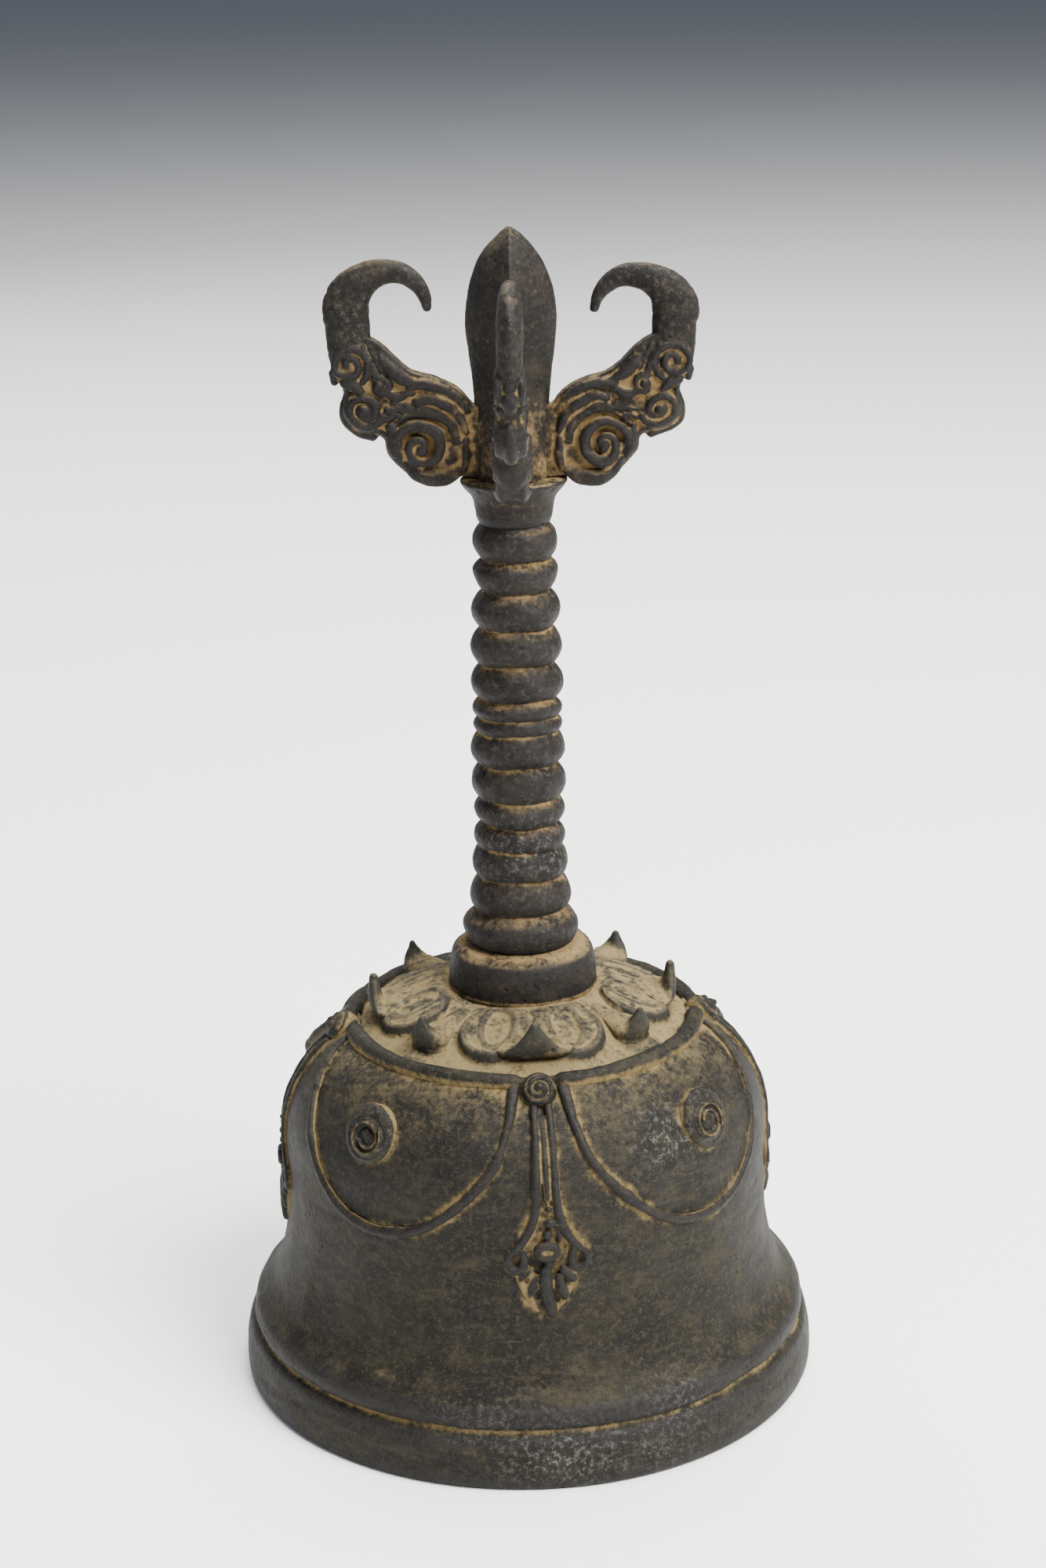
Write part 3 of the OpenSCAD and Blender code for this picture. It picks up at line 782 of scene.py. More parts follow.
def make_garlands():
    parts = []
    for k, side in ((0, 1), (0, -1), (180, 1), (180, -1)):
        line = spline(GARLAND, 10)
        path = turned(on_skin(side * line[:, 0], line[:, 1], 0.12), k)
        path = evenly(path, 0.45)
        fat = CORD_R * (1 + layered(path, 61, (0.16, 4), (0.12, 1.3)))
        knot = ramp(noise(path, 3.2, 63), 0.6, 0.85)
        parts.append(tube(path, fat + 0.22 * knot, 18, outward(path), 0.9))
    mesh = make_mesh("garlands_visual", gather(parts))
    cast_skin(mesh, 0.03, 0.035, 64)
    remember(mesh)
    co = coordinates(mesh)
    proud = from_axis(co) - skin_r(co[:, 2])
    finish_piece(mesh, ["swag_cords"], "cup_bronze", reach=0.6,
                 dirt=1 - ramp(proud, 0.05, 0.5), dusty=0.15)


# ---- bosses and studs


def spiral_groove(x, y):
    """How near each point lies to the spiral cut in a stud, from 0 to 1."""
    groove_r, turns = 2.5, 1.9
    far, angle = np.hypot(x, y), np.arctan2(y, x) % TAU
    mark = np.zeros_like(far)
    for lap in range(int(turns) + 2):
        swept = angle + TAU * lap
        line = groove_r * (1 - swept / (TAU * (turns + 0.55)))
        live = (swept < TAU * turns) & (line > 0)
        mark = np.maximum(mark, np.where(live, hump(far, line, 0.12 * groove_r), 0))
    return mark


def stud_relief(x, y, _):
    """A domed cap with a spiral cut into it: height and how dirty each point is."""
    dome = np.sqrt(np.clip(1 - (np.hypot(x, y) / STUD_R) ** 2.6, 0, 1))
    cut = spiral_groove(x, y)
    nub = 0.5 * hump(np.hypot(x, y), 0, 0.6)
    return 2.4 * dome - 0.4 * cut + nub, np.maximum(0.6 * cut, 1 - ramp(dome, 0.1, 0.5))


def boss_relief(x, y, hand):
    """A snail-like boss: a smooth crescent that wraps round a smaller raised whorl."""
    far = np.hypot(x, y) / BOSS_R
    dome = np.sqrt(np.clip(1 - far ** 2.8, 0, 1))
    gx, gy = x + 0.5 * hand, y + 0.5
    whorl = np.hypot(gx, gy)
    angle = (hand * np.arctan2(gy, gx) + 0.6) % TAU
    ridge, valley = np.zeros_like(far), np.zeros_like(far)
    for lap in range(2):
        swept = angle + TAU * lap
        line = 2.9 - 0.72 * swept / TAU - 0.75 * np.clip(swept / TAU - 0.85, 0, 1) ** 1.5
        live = (swept < TAU * 1.55) & (line > 0)
        ridge = np.maximum(ridge, np.where(live, hump(whorl, line, 0.24), 0))
        inner = line - 0.6
        valley = np.maximum(valley, np.where(live & (inner > 0),
                                             hump(whorl, inner, 0.4), 0))
    dish = 0.25 * (1 - ramp(whorl, 1.6, 2.7))
    moat = hump(whorl, 3.25, 0.28)
    height = 2.0 * dome + (0.38 * ridge - 0.34 * valley - 0.2 * moat - dish) * ramp(dome, 0.1, 0.5)
    dirt = np.maximum.reduce([0.75 * ridge, 0.35 * valley, 0.3 * moat, 1 - ramp(dome, 0.05, 0.3)])
    return height, dirt


def knob(z, angle, radius, tilt, hand, relief):
    """A knob standing on the skin at a height and an angle from the front."""
    d = np.concatenate([np.linspace(0.02, 0.86, 42), np.linspace(0.86, 1.0, 16)[1:]])
    a = full_turn(132)
    aa, dd = np.meshgrid(a, d * radius)
    x, y = dd * np.cos(aa), dd * np.sin(aa)
    up, dirt = relief(x, y, hand)
    up = np.vstack([up, np.full((1, len(a)), -2.2)])
    dirt = np.concatenate([dirt.ravel(), np.ones(len(a)), [dirt[0].mean(), 1]])
    x, y = np.vstack([x, x[-1:] * 0.96]), np.vstack([y, y[-1:] * 0.96])
    c, s = math.cos(math.radians(tilt)), math.sin(math.radians(tilt))
    # Local x runs sideways, y up the skin and the height outward.
    out, along = up * c - y * s, up * s + y * c
    rows = xyz(x, -(float(skin_r(z)) + out), z + along)
    return turned_part(closed_rows(rows), angle), dirt


def make_knobs(name, nodes, made, seed):
    mesh = make_mesh(name, gather([m[0] for m in made]))
    cast_skin(mesh, 0.06, 0.035, seed)
    remember(mesh)
    dirt = np.concatenate([m[1] for m in made])
    finish_piece(mesh, nodes, "cup_bronze", reach=0.6, dirt=dirt, dusty=0.3,
                 bloom=0.2 * np.ones(len(dirt)))


def make_bosses():
    made = [knob(BOSS_Z, angle, BOSS_R, 22, 1 if k % 2 == 0 else -1, boss_relief)
            for k, angle in enumerate(EIGHTHS)]
    make_knobs("bosses_visual", ["spiral_bosses"], made, 71)


def make_studs():
    made = [knob(STUD_Z, angle, STUD_R, 38, 1, stud_relief) for angle in QUARTERS]
    make_knobs("studs_visual", ["shoulder_studs"], made, 75)


# ---- pendants


def skin_strand(points, fat, lift):
    """A strand lying on the skin through points given as (sideways, height)."""
    line = evenly(spline(points, 8), 0.35)
    path = across_skin(line[:, 0], line[:, 1], lift)
    return tube(path, resampled(fat, len(path)), 14, outward(path))


# Strands of the tassel, as (sideways, height) points, half-width at a few places and lift.
# CURL, DROPS and TASSEL_EDGE are drawn on both sides; the drops are worn flat on the left.
CURL = [(3.7, 37.5), (3.5, 36.3), (3.8, 35.0), (4.7, 34.4), (5.7, 35.1), (6.0, 36.3), (5.6, 37.3)]
CURL_FAT = (0.6, 0.7, 0.75, 0.75, 0.7, 0.65, 0.6)
DROPS = [([(2.5, 34.6), (3.3, 33.8), (4.1, 32.7)], (0.65, 0.9, 0.65)),
         ([(1.8, 33.1), (2.2, 31.5), (2.8, 29.8)], (0.7, 0.95, 0.65))]
TASSEL_EDGE = [(4.5, 33.4), (3.0, 29.8), (1.1, 26.8)]
STRANDS = [
    ([(0.15, 57.0), (0.2, 50.0), (0.3, 46.0)], (0.55, 0.6, 0.5), 0.05),
    ([(1.6, 42.5), (2.0, 41.0), (2.1, 39.4)], (0.4, 0.5, 0.45), 0.1),
    # The lips round the level slit of the knot.
    ([(-1.4, 37.8), (-0.9, 38.55), (0.1, 38.8), (1.1, 38.55), (1.6, 37.8), (1.1, 37.05),
      (0.1, 36.8), (-0.9, 37.05), (-1.4, 37.8)], (0.68, 0.68), 0.85),
    ([(-0.1, 34.6), (-0.15, 32.4), (0.1, 29.9), (0.5, 28.1), (0.8, 26.9)],
     (0.8, 1.1, 1.1, 1.05, 0.85), 0.35)]

# Beads between the cords, the knot and the bead under it: sideways, height, lift and half-sizes.
BEADS = [(0.4, 44.7, 0.2, (0.55, 0.95, 0.6), 14), (0.6, 42.4, 0.2, (1.0, 0.95, 0.75), 14),
         (0.15, 40.4, 0.2, (0.8, 0.95, 0.85), 14), (0.1, 37.8, 0.1, (2.1, 1.2, 1.4), 20),
         (0.5, 35.6, 0.2, (0.8, 0.95, 0.9), 12)]


def one_pendant(seed):
    cord = spline([(1.15, 58.3), (1.3, 54), (1.5, 48), (1.75, 44.5), (2.5, 41.8), (3.6, 39.6),
                   (5.0, 37.8)], 10)
    parts = []
    for side in (-1, 1):
        path = evenly(across_skin(side * cord[:, 0] + 0.15, cord[:, 1], 0.15), 0.4)
        fat = 0.7 * (1 + 0.14 * noise(path, 3, seed))
        parts.append(tube(path, fat, 16, outward(path)))
        curl = [(side * x + 0.2 + 0.2 * side, z) for x, z in CURL]
        parts.append(skin_strand(curl, CURL_FAT, 0.3))
        for points, fat in DROPS:
            parts.append(skin_strand([(side * x, z) for x, z in points], fat,
                                     0.35 if side > 0 else -0.2))
        parts.append(skin_strand([(side * x, z) for x, z in TASSEL_EDGE], (0.5, 0.7, 0.6), -0.35))
    parts += [skin_strand(*row) for row in STRANDS]
    parts += [ball(across_skin(x, z, lift), 1.0, size, count) for x, z, lift, size, count in BEADS]
    return parts


def make_pendants():
    one = gather(one_pendant(81))
    parts = [turned_part(one, k) for k in QUARTERS]
    mesh = fused("pendants_visual", gather(parts), 0.22, 2)
    cast_skin(mesh, 0.06, 0.04, 82)
    remember(mesh)
    co = coordinates(mesh)
    proud = from_axis(co) - skin_r(co[:, 2])
    dirt = np.maximum(1 - ramp(proud, 0.1, 0.7), np.clip(cavity(mesh, 0.7) / 0.13, 0, 1))
    finish_piece(mesh, ["pendant_cords", "pendant_beads", "pendant_tassels"],
                 "cup_bronze", reach=0.6, dirt=dirt, dusty=0.15)


# ---- handle


def make_collar():
    outline = spline([(COLLAR_R - r, COLLAR_Z + z) for r, z in (
        (8.1, -0.4), (0.5, -0.2), (0, 0.5), (0, 2.4), (0.25, 4.6), (0.7, 6.0), (1.5, 6.7),
        (2.4, 7.25), (8.1, 7.6))], 14)
    mesh = make_mesh("collar_visual", revolve(evenly(outline, 0.4), 240))
    cast_skin(mesh, 0.16, 0.035, 91)
    co = coordinates(mesh)
    r = from_axis(co)
    dirt = np.maximum(1 - ramp(co[:, 2], COLLAR_Z, COLLAR_Z + 0.9),
                      0.9 * ramp(co[:, 2], COLLAR_Z + 5.9, COLLAR_Z + 7) * ramp(11.6 - r, 0, 1.5))
    finish_piece(mesh, ["handle_collar"], "handle_bronze", dirt=dirt, dusty=1.0)


# Rings of the grip from the bottom up: groove radius, crest height, crest radius.
GRIP_RINGS = [
    (8.1, 77.3, 9.45), (7.2, 82.6, 8.4), (6.8, 88.3, 7.9), (6.8, 93.0, 7.5),
    (6.1, 97.3, 7.45), (6.4, 102.0, 7.6), (6.1, 107.3, 7.55), (6.4, 111.5, 7.15),
    (6.4, 114.2, 7.25), (6.0, 118.4, 7.5), (5.8, 124.2, 7.35), (5.7, 130.0, 7.1),
    (5.3, 136.2, 6.7), (5.3, 140.8, 6.7)]
GROOVES = [GRIP_Z, 80.3, 86.1, 91.2, 95.1, 99.3, 104.8, 110.2, 112.8, 115.7, 121.4, 127.2,
           133.1, 138.0, 144.0]


def grip_outline():
    """Radius and height up the grip, each ring swelling out between two sharp grooves."""
    points = []
    for i, (groove, crest_z, crest) in enumerate(GRIP_RINGS):
        above = GRIP_RINGS[i + 1][0] if i + 1 < len(GRIP_RINGS) else 5.4
        # A power below 1 makes each ring full and round, with a narrow groove on either side.
        for t in np.linspace(0, 1, 14, endpoint=False):
            bulge = math.sin(t * math.pi / 2) ** 0.82
            points.append((groove + (crest - groove) * bulge,
                           GROOVES[i] + (crest_z - GROOVES[i]) * t))
        for t in np.linspace(0, 1, 14, endpoint=False):
            bulge = math.cos(t * math.pi / 2) ** 0.82
            points.append((above + (crest - above) * bulge,
                           crest_z + (GROOVES[i + 1] - crest_z) * t))
    points.append((5.4, HUB_Z + 0.2))
    return np.array(points)


def make_grip():
    outline = evenly(grip_outline(), 0.25)
    outline = np.vstack([[3.0, GRIP_Z - 0.1], outline, [3.0, HUB_Z + 0.4]])
    mesh = make_mesh("grip_visual", revolve(outline, 200))
    co = coordinates(mesh)
    a = np.arctan2(co[:, 1], co[:, 0])
    way = xyz(np.cos(a), np.sin(a), 0)
    hand_made = xyz(9 * np.cos(a), 9 * np.sin(a), co[:, 2])
    sag = layered(hand_made, 101, (0.6, 12), (0.14, 4))
    ends = ramp(co[:, 2], GRIP_Z, GRIP_Z + 2) * ramp(HUB_Z - co[:, 2], 0, 2)
    swell = layered(hand_made, 103, (0.22, 6), (0.09, 2.2))
    co = co + way * (swell * ends)[:, None]
    co[:, 2] += sag * ends
    set_coordinates(mesh, co)
    cast_skin(mesh, 0.03, 0.04, 105)
    co = coordinates(mesh)
    hollow = cavity(mesh, 0.9)
    up = normals(mesh)[:, 2]
    spotty = 0.75 + layered(co, 106, (0.6, 3.5), (0.3, 1.2))
    dirt = (0.85 * np.clip(hollow / 0.2, 0, 1) + 0.5 * ramp(up, 0.35, 0.85)) * spotty
    bloom = 0.45 * hump(co[:, 2], 92, 5) + 0.12
    finish_piece(mesh, ["handle_grip"], "handle_bronze", reach=0.7,
                 dirt=dirt, dusty=0.55, bloom=bloom)


def make_hub():
    outline = spline([(3.0, HUB_Z - 0.3), (5.3, HUB_Z), (5.9, 144.9), (6.1, 146.2), (6.3, 147.6),
                      (6.85, 148.7), (7.8, 149.8), (8.35, 150.6), (8.2, 151.05),
                      (7.2, HUB_TOP_Z), (3.0, HUB_TOP_Z)], 12)
    mesh = make_mesh("hub_visual", revolve(evenly(outline, 0.3), 200))
    cast_skin(mesh, 0.14, 0.04, 111)
    finish_piece(mesh, ["prong_hub"], "handle_bronze", dusty=1.1)


def make_bud():
    """The four-edged bud: its section is a soft diamond with an edge towards each prong."""
    line = spline([(5.6, 150.9), (5.6, 156), (5.75, 162), (6.05, 166.7), (6.6, 171.2), (7.05, 176.0),
                   (6.6, 180.2), (5.5, 183.7), (4.35, 185.9), (2.9, 187.8), (1.4, 189.3),
                   (0.35, BUD_TOP_Z)], 14)
    line = evenly(line, 0.24)
    a = full_turn(176)
    power = 1.22 + 0.5 * ramp(165 - line[:, 1], 0, 10)
    power = power[:, None]
    section = (np.abs(np.cos(a)) ** power + np.abs(np.sin(a)) ** power) ** (-1 / power)
    r = line[:, :1] * section
    rows = xyz(r * np.cos(a), r * np.sin(a), line[:, 1:])
    mesh = make_mesh("bud_visual", turned_part(closed_rows(rows), FINIAL_TURN))
    cast_skin(mesh, 0.14, 0.035, 121)
    co = coordinates(mesh)
    low = 1 - ramp(co[:, 2], 152, 174)
    dirt = low * (0.55 + 0.45 * noise(co, 3, 122)) + np.clip(cavity(mesh, 0.8) / 0.15, 0, 1)
    set_coordinates(mesh, np.minimum(co, [99, 99, BUD_TOP_Z + 0.15]))
    finish_piece(mesh, ["centre_prong"], "handle_bronze", reach=0.6, dirt=dirt, dusty=0.35)


# ---- hooked prongs

# Everything on a prong is drawn as (distance from the axis, height).
ACROSS = [0.0, 1.0, 0.0]
HOOK_CENTRE = (18.4, 176.8)
HOOK_R = 6.95
HOOK_RISE = 6.0
HOOK_BACK = 5.6
HOOK_FAT = [3.45, 3.65, 3.65, 3.5, 3.2, 2.85, 2.5, 2.2, 1.95, 1.8, 1.65, 1.5, 1.35, 1.15, 0.95, 0.75]

WING = [(5.0, 151.2), (5.0, 161.5), (6.2, 162.9), (8.3, 165.2), (11.3, 166.8), (15.0, 167.9),
        (17.3, 169.4), (19.4, 171.6), (21.8, 173.2), (24.8, 173.4), (27.2, 170.3), (26.6, 167.4),
        (24.6, 165.2), (24.2, 163.4), (24.8, 161.0), (23.3, 159.0), (20.6, 158.6), (18.4, 158.2),
        (17.5, 155.4), (15.8, 153.4), (14.2, 151.8), (12.4, 151.1), (10.0, 151.1), (8.3, 151.6)]

# The ridge down the outer edge: distance, height, radius and half-width across the wing.
WING_RIM = [(26.6, 170, 1.0, 1.6), (25.9, 167, 0.8, 1.4), (25.2, 164.5, 0.7, 1.6),
            (25.2, 161.8, 1.15, 2.4), (23.6, 159.6, 1.1, 2.2), (20.6, 158.9, 0.8, 1.6),
            (18.9, 157.8, 1.0, 2.2), (18.1, 155.6, 1.3, 2.8), (16.6, 153.4, 0.95, 1.9),
            (14.2, 151.9, 1.2, 3.0), (11.6, 151.6, 1.1, 2.7), (9.2, 152.6, 0.8, 1.8)]


# Spirals on the wings: centre, outer and inner radius, start in degrees, turns, way round,
# half-width at a few places and lift from the wing's middle.
SCROLLS = [
    ((25.1, 169.2), 3.2, 0.5, 232, 1.6, -1, (0.5, 0.62, 0.6, 0.5), 1.75),
    ((22.8, 162.0), 2.8, 0.45, 200, 1.7, 1, (0.55, 0.66, 0.6, 0.45), 1.9),
    ((14.1, 156.4), 4.0, 0.5, 20, 1.45, 1, (0.7, 0.9, 0.85, 0.6), 2.3),
    ((20.2, 165.7), 1.5, 0.3, 60, 1.25, 1, (0.45, 0.5, 0.45), 1.75)]

# Raised lines on the wings: points, half-width at a few places and lift.
STROKES = [
    ([(16.6, 154.2), (15.0, 152.2), (12.8, 151.4), (10.4, 151.4), (8.6, 152.4)],
     (0.9, 1.2, 1.4, 1.2, 0.8), 1.6),
    ([(18.8, 159.4), (18.2, 157.2), (17.3, 155.4)], (0.7, 1.1, 0.85), 1.7),
    ([(20.3, 170.9), (18.8, 168.9), (17.0, 167.3), (15.0, 166.4)], (0.4, 1.0, 1.0, 0.5), 1.5),
    ([(15.9, 165.9), (13.9, 166.2), (11.0, 165.4), (8.7, 164.0), (7.0, 162.0)],
     (0.6, 0.95, 0.95, 0.8, 0.5), 1.6),
    ([(14.6, 163.6), (12.4, 163.9), (10.0, 162.9), (8.1, 160.9), (7.2, 158.6)],
     (0.7, 1.0, 1.0, 0.8, 0.5), 1.7),
    ([(18.6, 163.3), (16.2, 163.0), (15.0, 162.2)], (0.35, 0.4, 0.35), 1.6),
    ([(19.4, 161.9), (17.6, 162.4), (15.4, 162.1), (12.2, 161.7), (9.6, 159.9), (8.4, 157)],
     (0.4, 0.45, 0.45, 0.45, 0.4), 1.75),
    ([(19.6, 160.7), (18.2, 161.3), (17.2, 160.9)], (0.4, 0.45, 0.4), 1.75),
    ([(22.8, 171.9), (21.9, 169.8), (21.1, 168.0), (20.4, 166.8)], (0.4, 0.55, 0.6, 0.5), 1.6),
    ([(21.7, 171.9), (20.6, 169.5), (19.7, 167.9)], (0.35, 0.4, 0.35), 1.55),
    ([(19.2, 164.6), (17.6, 164.4), (16.2, 165.0), (15.4, 164.9)], (0.6, 0.9, 0.7, 0.4), 1.6),
    ([(25.7, 166.2), (24.4, 166.0), (23.2, 164.8)], (0.7, 0.9, 0.6), 1.5),
    ([(7.3, 157.4), (7.2, 154.6), (7.8, 152.4)], (0.6, 0.7, 0.5), 1.5)]

BIG_SCROLL = SCROLLS[2][0]


def plate(outline, thick):
    """A flat plate with a softly rounded outline, standing in the plane of a prong."""
    o = spline(np.vstack([outline, outline[:1]]), 4)[:-1]
    centre = o.mean(0)
    inner = centre + (o - centre) * 0.5
    rings = []
    for ring, y in ((inner, -thick), (o, -thick), (o, thick), (inner, thick)):
        rings.append(xyz(ring[:, 0], y, ring[:, 1]))
    return closed_rows(rings)


def stroke(points, fat, lift, steps=8):
    """A raised line on both faces of a wing. fat is its half-width at a few places."""
    line = evenly(spline(points, steps), 0.3)
    width = resampled(fat, len(line))
    made = []
    for side in (-1, 1):
        path = xyz(line[:, 0], side * lift, line[:, 1])
        made.append(tube(path, width, 12, ACROSS, 0.85))
    return made


def scroll(centre, outer, inner, start, turns, way, fat, lift):
    """A raised spiral on both faces of a wing."""
    t = np.linspace(0, 1, 48)
    a = math.radians(start) + way * TAU * turns * t
    r = inner + (outer - inner) * (1 - t) ** 0.9
    points = np.stack([centre[0] + r * np.cos(a), centre[1] + r * np.sin(a)], 1)
    return stroke(points, fat, lift, 2)


def prong_parts():
    arc = np.radians(np.linspace(-14, 172, len(HOOK_FAT)))
    reach = np.where(np.cos(arc) > 0, HOOK_R, HOOK_BACK)
    hook = np.stack([HOOK_CENTRE[0] + reach * np.cos(arc),
                     HOOK_CENTRE[1] + HOOK_RISE * np.sin(arc)], 1)
    hook = np.vstack([[(24.0, 166.8), (24.7, 169.3), (25.0, 171.8)], hook])
    fat = np.concatenate([[2.6, 3.2, 3.4], HOOK_FAT])
    line = spline(hook, 6)
    path = xyz(line[:, 0], 0, line[:, 1])
    width = resampled(fat, len(path))
    squeeze = np.interp(width, [0.75, 1.9, 3.0, 3.7], [0.95, 0.76, 0.61, 0.54])
    parts = [tube(path, width, 28, ACROSS, squeeze), plate(WING, 1.45)]
    # One ridge runs down the outer edge, swelling and pinching where the scrolls meet it.
    rim = evenly(spline(WING_RIM, 8), 0.3)
    ridge = xyz(rim[:, 0], 0, rim[:, 1])
    parts.append(tube(ridge, rim[:, 2], 20, ACROSS, rim[:, 3] / rim[:, 2]))
    nose = [(24.9, 164.6), (25.8, 162.6), (25.7, 160.4), (24.2, 158.8), (21.6, 158.1)]
    ridge = evenly(spline([(x, 0.0, z) for x, z in nose], 8), 0.3)
    parts.append(tube(ridge, 0.95, 16, ACROSS, 1.1))
    for row in SCROLLS:
        parts += scroll(*row)
    for row in STROKES:
        parts += stroke(*row)
    # Strands that follow the big scroll on the side towards the bud.
    for radius, first, last, fat in ((5.2, 40, 175, 0.4), (6.1, 60, 165, 0.42)):
        a = np.radians(np.linspace(first, last, 9))
        points = np.array(BIG_SCROLL) + radius * np.stack([np.cos(a), np.sin(a)], 1)
        parts += stroke(points, (0.6 * fat, fat, fat, 0.7 * fat), 1.75, 3)
    for side in (-1, 1):
        parts.append(ball((14.1, side * 2.0, 156.2), 1.0, (1.1, 0.9, 1.2), 12))
        parts.append(ball((22.8, side * 2.1, 162.0), 0.85, (1, 0.9, 1), 12))
        parts.append(ball((20.3, side * 2.2, 165.9), 0.6, (1, 0.9, 1), 12))
    spur = [(26.6, 0, 168.6), (27.1, 0, 167.5), (27.2, 0, 166.3)]
    parts.append(tube(spur, (1.3, 1.1, 0.6), 16, ACROSS, 1.2))
    return gather(parts)


def make_prongs():
    part = prong_parts()
    base = fused("prong", part, 0.2, 2)
    for k, (name, side, lift) in enumerate((("right", 0, -0.5), ("rear", 90, 0.0),
                                            ("left", 180, 0.45), ("front", 270, -0.5))):
        angle = side + FINIAL_TURN
        mesh = base.copy()
        mesh.name = f"{name}_prong_visual"
        co = coordinates(mesh)
        seed = 131 + 7 * k
        # Each prong was worked in wax by hand, so no two scrolls run quite alike.
        soft = (1 - ramp(co[:, 2], 168, 174)) * ramp(co[:, 0], 8, 12)
        drift = xyz(noise(co * [1, 0.3, 1], 3.4, seed + 5), 0,
                    noise(co * [1, 0.3, 1], 3.4, seed + 6))
        co = co + 0.32 * drift * soft[:, None]
        co[:, 2] += lift * ramp(co[:, 2], 171, 182)
        set_coordinates(mesh, turned(co, angle))
        here = coordinates(mesh)
        bend = 0.35 * noise(np.full((1, 3), 5.0 + k), 3, seed)[0]
        bend = bend * ramp(here[:, 2], 160, 184)
        across = np.array([math.cos(math.radians(angle + 90)), math.sin(math.radians(angle + 90)), 0])
        set_coordinates(mesh, here + across * bend[:, None])
        cast_skin(mesh, 0.13, 0.05, seed + 1)
        hollow = cavity(mesh, 0.75)
        z = coordinates(mesh)[:, 2]
        wing = 1 - ramp(z, 166, 174)
        here = coordinates(mesh)
        patchy = 0.8 + layered(here, seed + 9, (0.5, 2.5), (0.3, 1.1))
        inner = 1 - ramp(from_axis(here), 6, 12)
        dirt = patchy * (np.clip(hollow / 0.13, 0, 1) * (0.3 + 0.7 * wing) + (0.2 + 0.35 * inner) * wing)
        finish_piece(mesh, [f"{name}_prong"], "handle_bronze",
                     reach=0.55, dirt=dirt, dusty=0.3 + 0.4 * wing, bloom=0.14 * ramp(z, 166, 176))


# ---- clapper and fittings


def make_clapper():
    """Forged rod with its eye, and the ball, both hammered."""
    low, high = (np.array(c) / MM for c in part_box("clapper_stem"))
    ball_low, ball_high = (np.array(c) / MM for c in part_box("clapper_bob"))
    bob_r = (ball_high[0] - ball_low[0]) / 2
    bob_z = ball_low[2] + bob_r
    eye_outer = (high[0] - low[0]) / 2
    wire = 1.1
    eye_r = eye_outer - wire
    eye_z = high[2] - eye_outer
    b = full_turn(64)
    spoke = xyz(np.cos(b), 0, np.sin(b))
    eye = hoop(eye_r * spoke + [0, 0, eye_z], spoke, ACROSS, wire, 20)
    rod_z = np.linspace(bob_z + bob_r - 1.5, eye_z - eye_r, 60)
    rod = tube(xyz(0, 0, rod_z), np.linspace(2.2, 1.65, 60), 20, [1.0, 0, 0])
    mesh = fused("clapper_stem_visual", gather([eye, rod]), 0.22, 1)
    cast_skin(mesh, 0.07, 0.04, 161)
    finish_piece(mesh, ["clapper_stem"], "forged_iron", body="clapper", dusty=0.2)
    a = np.linspace(-math.pi / 2 + 0.2, math.pi / 2 - 0.42, 70)
    outline = np.stack([bob_r * np.cos(a), bob_z + bob_r * np.sin(a)], 1)
    neck = spline([tuple(outline[-1]), (3.3, bob_z + bob_r - 0.2), (2.6, bob_z + bob_r + 1.5)], 8)
    mesh = make_mesh("clapper_bob_visual", revolve(evenly(np.vstack([outline[:-1], neck]), 0.35), 180))
    co, out = coordinates(mesh), normals(mesh)
    facets = ramp(noise(co, 5, 171), -0.2, 0.8)
    set_coordinates(mesh, co - out * (0.3 * facets)[:, None])
    cast_skin(mesh, 0.05, 0.05, 172)
    co = coordinates(mesh)
    scale = np.minimum(1, bob_r / np.maximum(np.linalg.norm(co - [0, 0, bob_z], axis=1), bob_r))
    keep = co[:, 2] < bob_z + 0.7 * bob_r
    co[keep] = ([0, 0, bob_z] + (co - [0, 0, bob_z]) * scale[:, None])[keep]
    set_coordinates(mesh, co)
    finish_piece(mesh, ["clapper_bob"], "forged_iron", body="clapper", dusty=0.15)


def dress_fittings():
    """The tang, washer, staple and link keep their CAD shape and get the forged iron."""
    for name in ("handle_tang", "crown_washer", "clapper_staple", "clapper_link"):
        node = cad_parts[name]
        for place in node.material_slots:
            place.material = METALS["forged_iron"]


# ---- studio


FLOOR_R = 12  # m


def make_stage():
    """A plain pale floor that runs on to the horizon."""
    mesh = bpy.data.meshes.new("studio_floor")
    a = full_turn(64)
    verts = FLOOR_R * xyz(np.cos(a), np.sin(a), 0)
    mesh.from_pydata(verts.tolist(), [], [list(range(len(a)))])
    material, tree, shader = new_material("studio_paper")
    n = Nodes(tree)
    n.link(n.mix(n.noise(400), (0.955, 0.95, 0.935), (0.935, 0.935, 0.925)),
           shader.inputs["Base Color"])
    shader.inputs["Roughness"].default_value = 0.9
    mesh.materials.append(material)
    floor = placed("studio_floor", mesh)


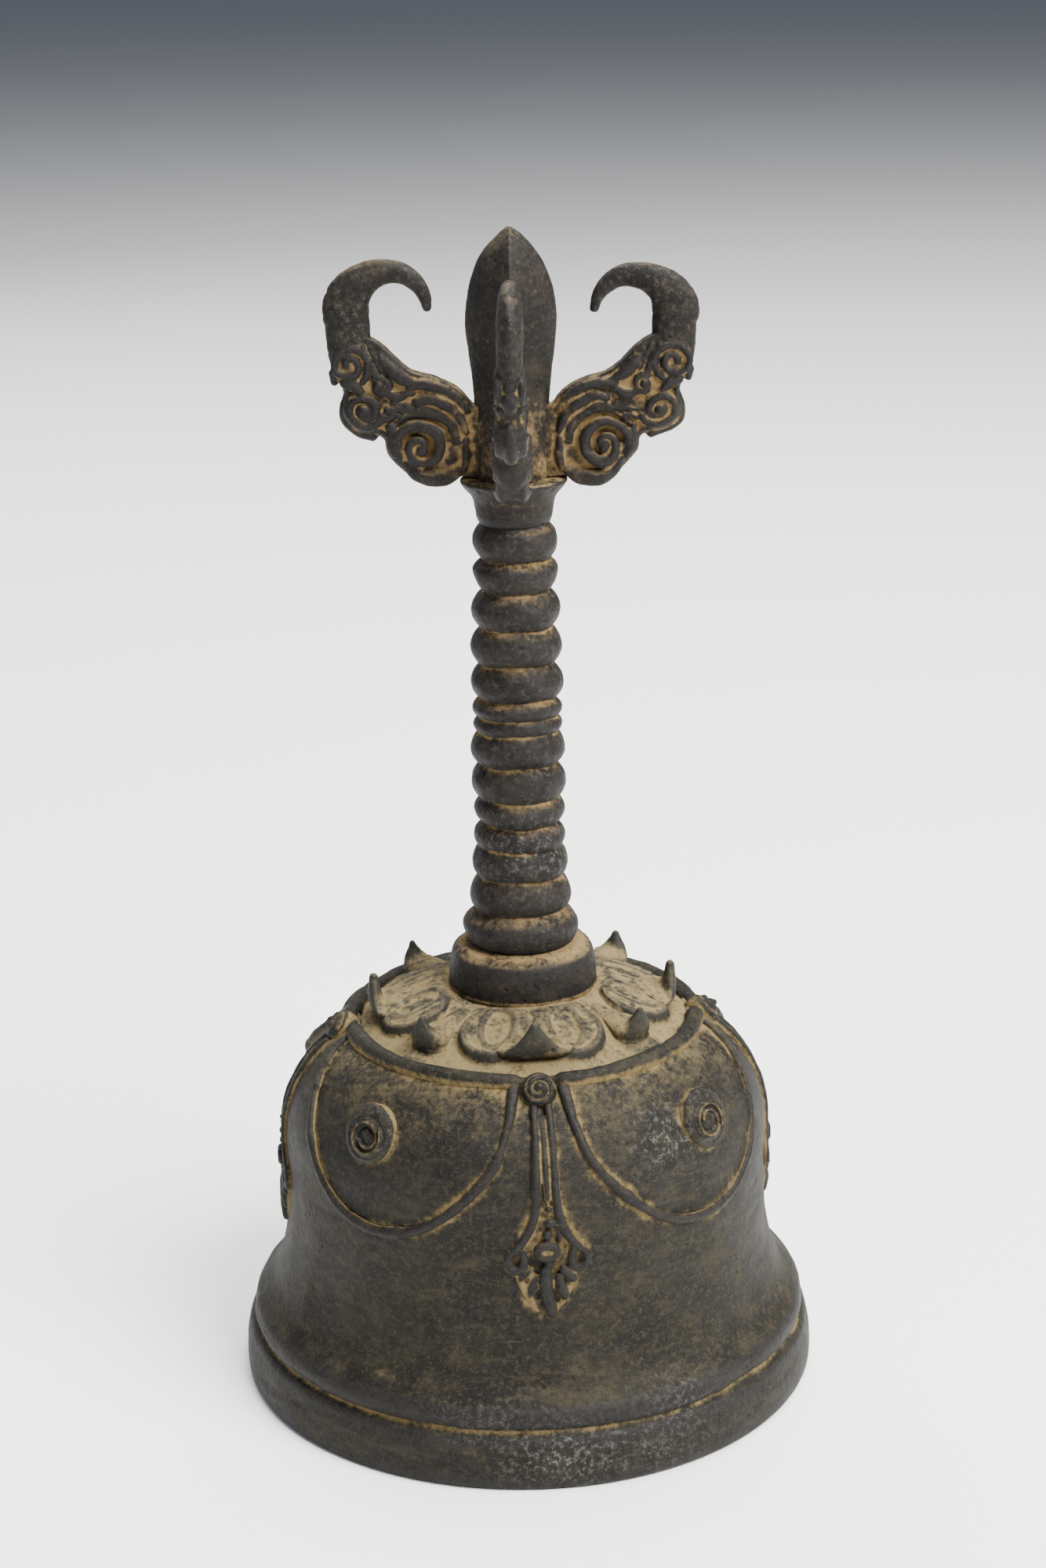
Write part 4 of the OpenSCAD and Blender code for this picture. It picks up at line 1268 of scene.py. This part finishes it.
# Each soft light: name, place in metres, watts and colour.
LIGHTS = [("key_softbox", (0.6, -0.55, 1.05), 60, (1.0, 0.985, 0.96)),
          ("fill_softbox", (-0.95, -0.6, 0.55), 3.0, (0.95, 0.97, 1.0)),
          ("top_softbox", (0.1, 0.3, 1.2), 28, (1.0, 1.0, 1.0)),
          ("back_softbox", (-0.45, 0.95, 0.7), 5, (1.0, 1.0, 1.0))]
LIGHT_SIZE = 0.8
LIGHT_TARGET = (0, 0, 0.09)


def make_lights():
    for name, place, power, colour in LIGHTS:
        data = bpy.data.lights.new(name, "AREA")
        data.shape = "DISK"
        data.size = LIGHT_SIZE
        data.energy = power
        data.color = colour
        lamp = placed(name, data)
        lamp.location = place
        aim = Vector(LIGHT_TARGET) - Vector(place)
        lamp.rotation_euler = aim.to_track_quat("-Z", "Y").to_euler()
    world = bpy.data.worlds.new("studio")
    world.use_nodes = True
    sky = world.node_tree.nodes["Background"]
    sky.inputs["Color"].default_value = (0.66, 0.74, 0.92, 1.0)
    sky.inputs["Strength"].default_value = 0.14
    bpy.context.scene.world = world


# Where the camera stands, in mm and degrees, and its lens in mm.
CAMERA_BACK = 444.8
CAMERA_UP = 241.8
CAMERA_SIDE = 0.65
CAMERA_ROUND = 4.3
CAMERA_PITCH = 17.585
CAMERA_ROLL = -0.997
LENS = 66.35


def make_camera():
    data = bpy.data.cameras.new("photo_camera")
    data.sensor_width = 36
    data.lens = LENS
    data.clip_start = 0.01
    camera = placed("photo_camera", data)
    facing = Matrix.Rotation(math.radians(-CAMERA_ROUND), 4, "Z")
    tilt = Matrix.Rotation(math.radians(90 - CAMERA_PITCH), 4, "X")
    roll = Matrix.Rotation(math.radians(CAMERA_ROLL), 4, "Z")
    place = facing @ Vector((CAMERA_SIDE, -CAMERA_BACK, CAMERA_UP)) * MM
    camera.matrix_world = Matrix.Translation(place) @ facing @ tilt @ roll
    bpy.context.scene.camera = camera


make_camera()
make_shoulder_ring()
make_lotus()
make_lotus_tips()
make_garlands()
make_bosses()
make_studs()
make_pendants()
make_cup()
make_collar()
make_grip()
make_hub()
make_bud()
make_prongs()
make_clapper()
dress_fittings()
make_stage()
make_lights()
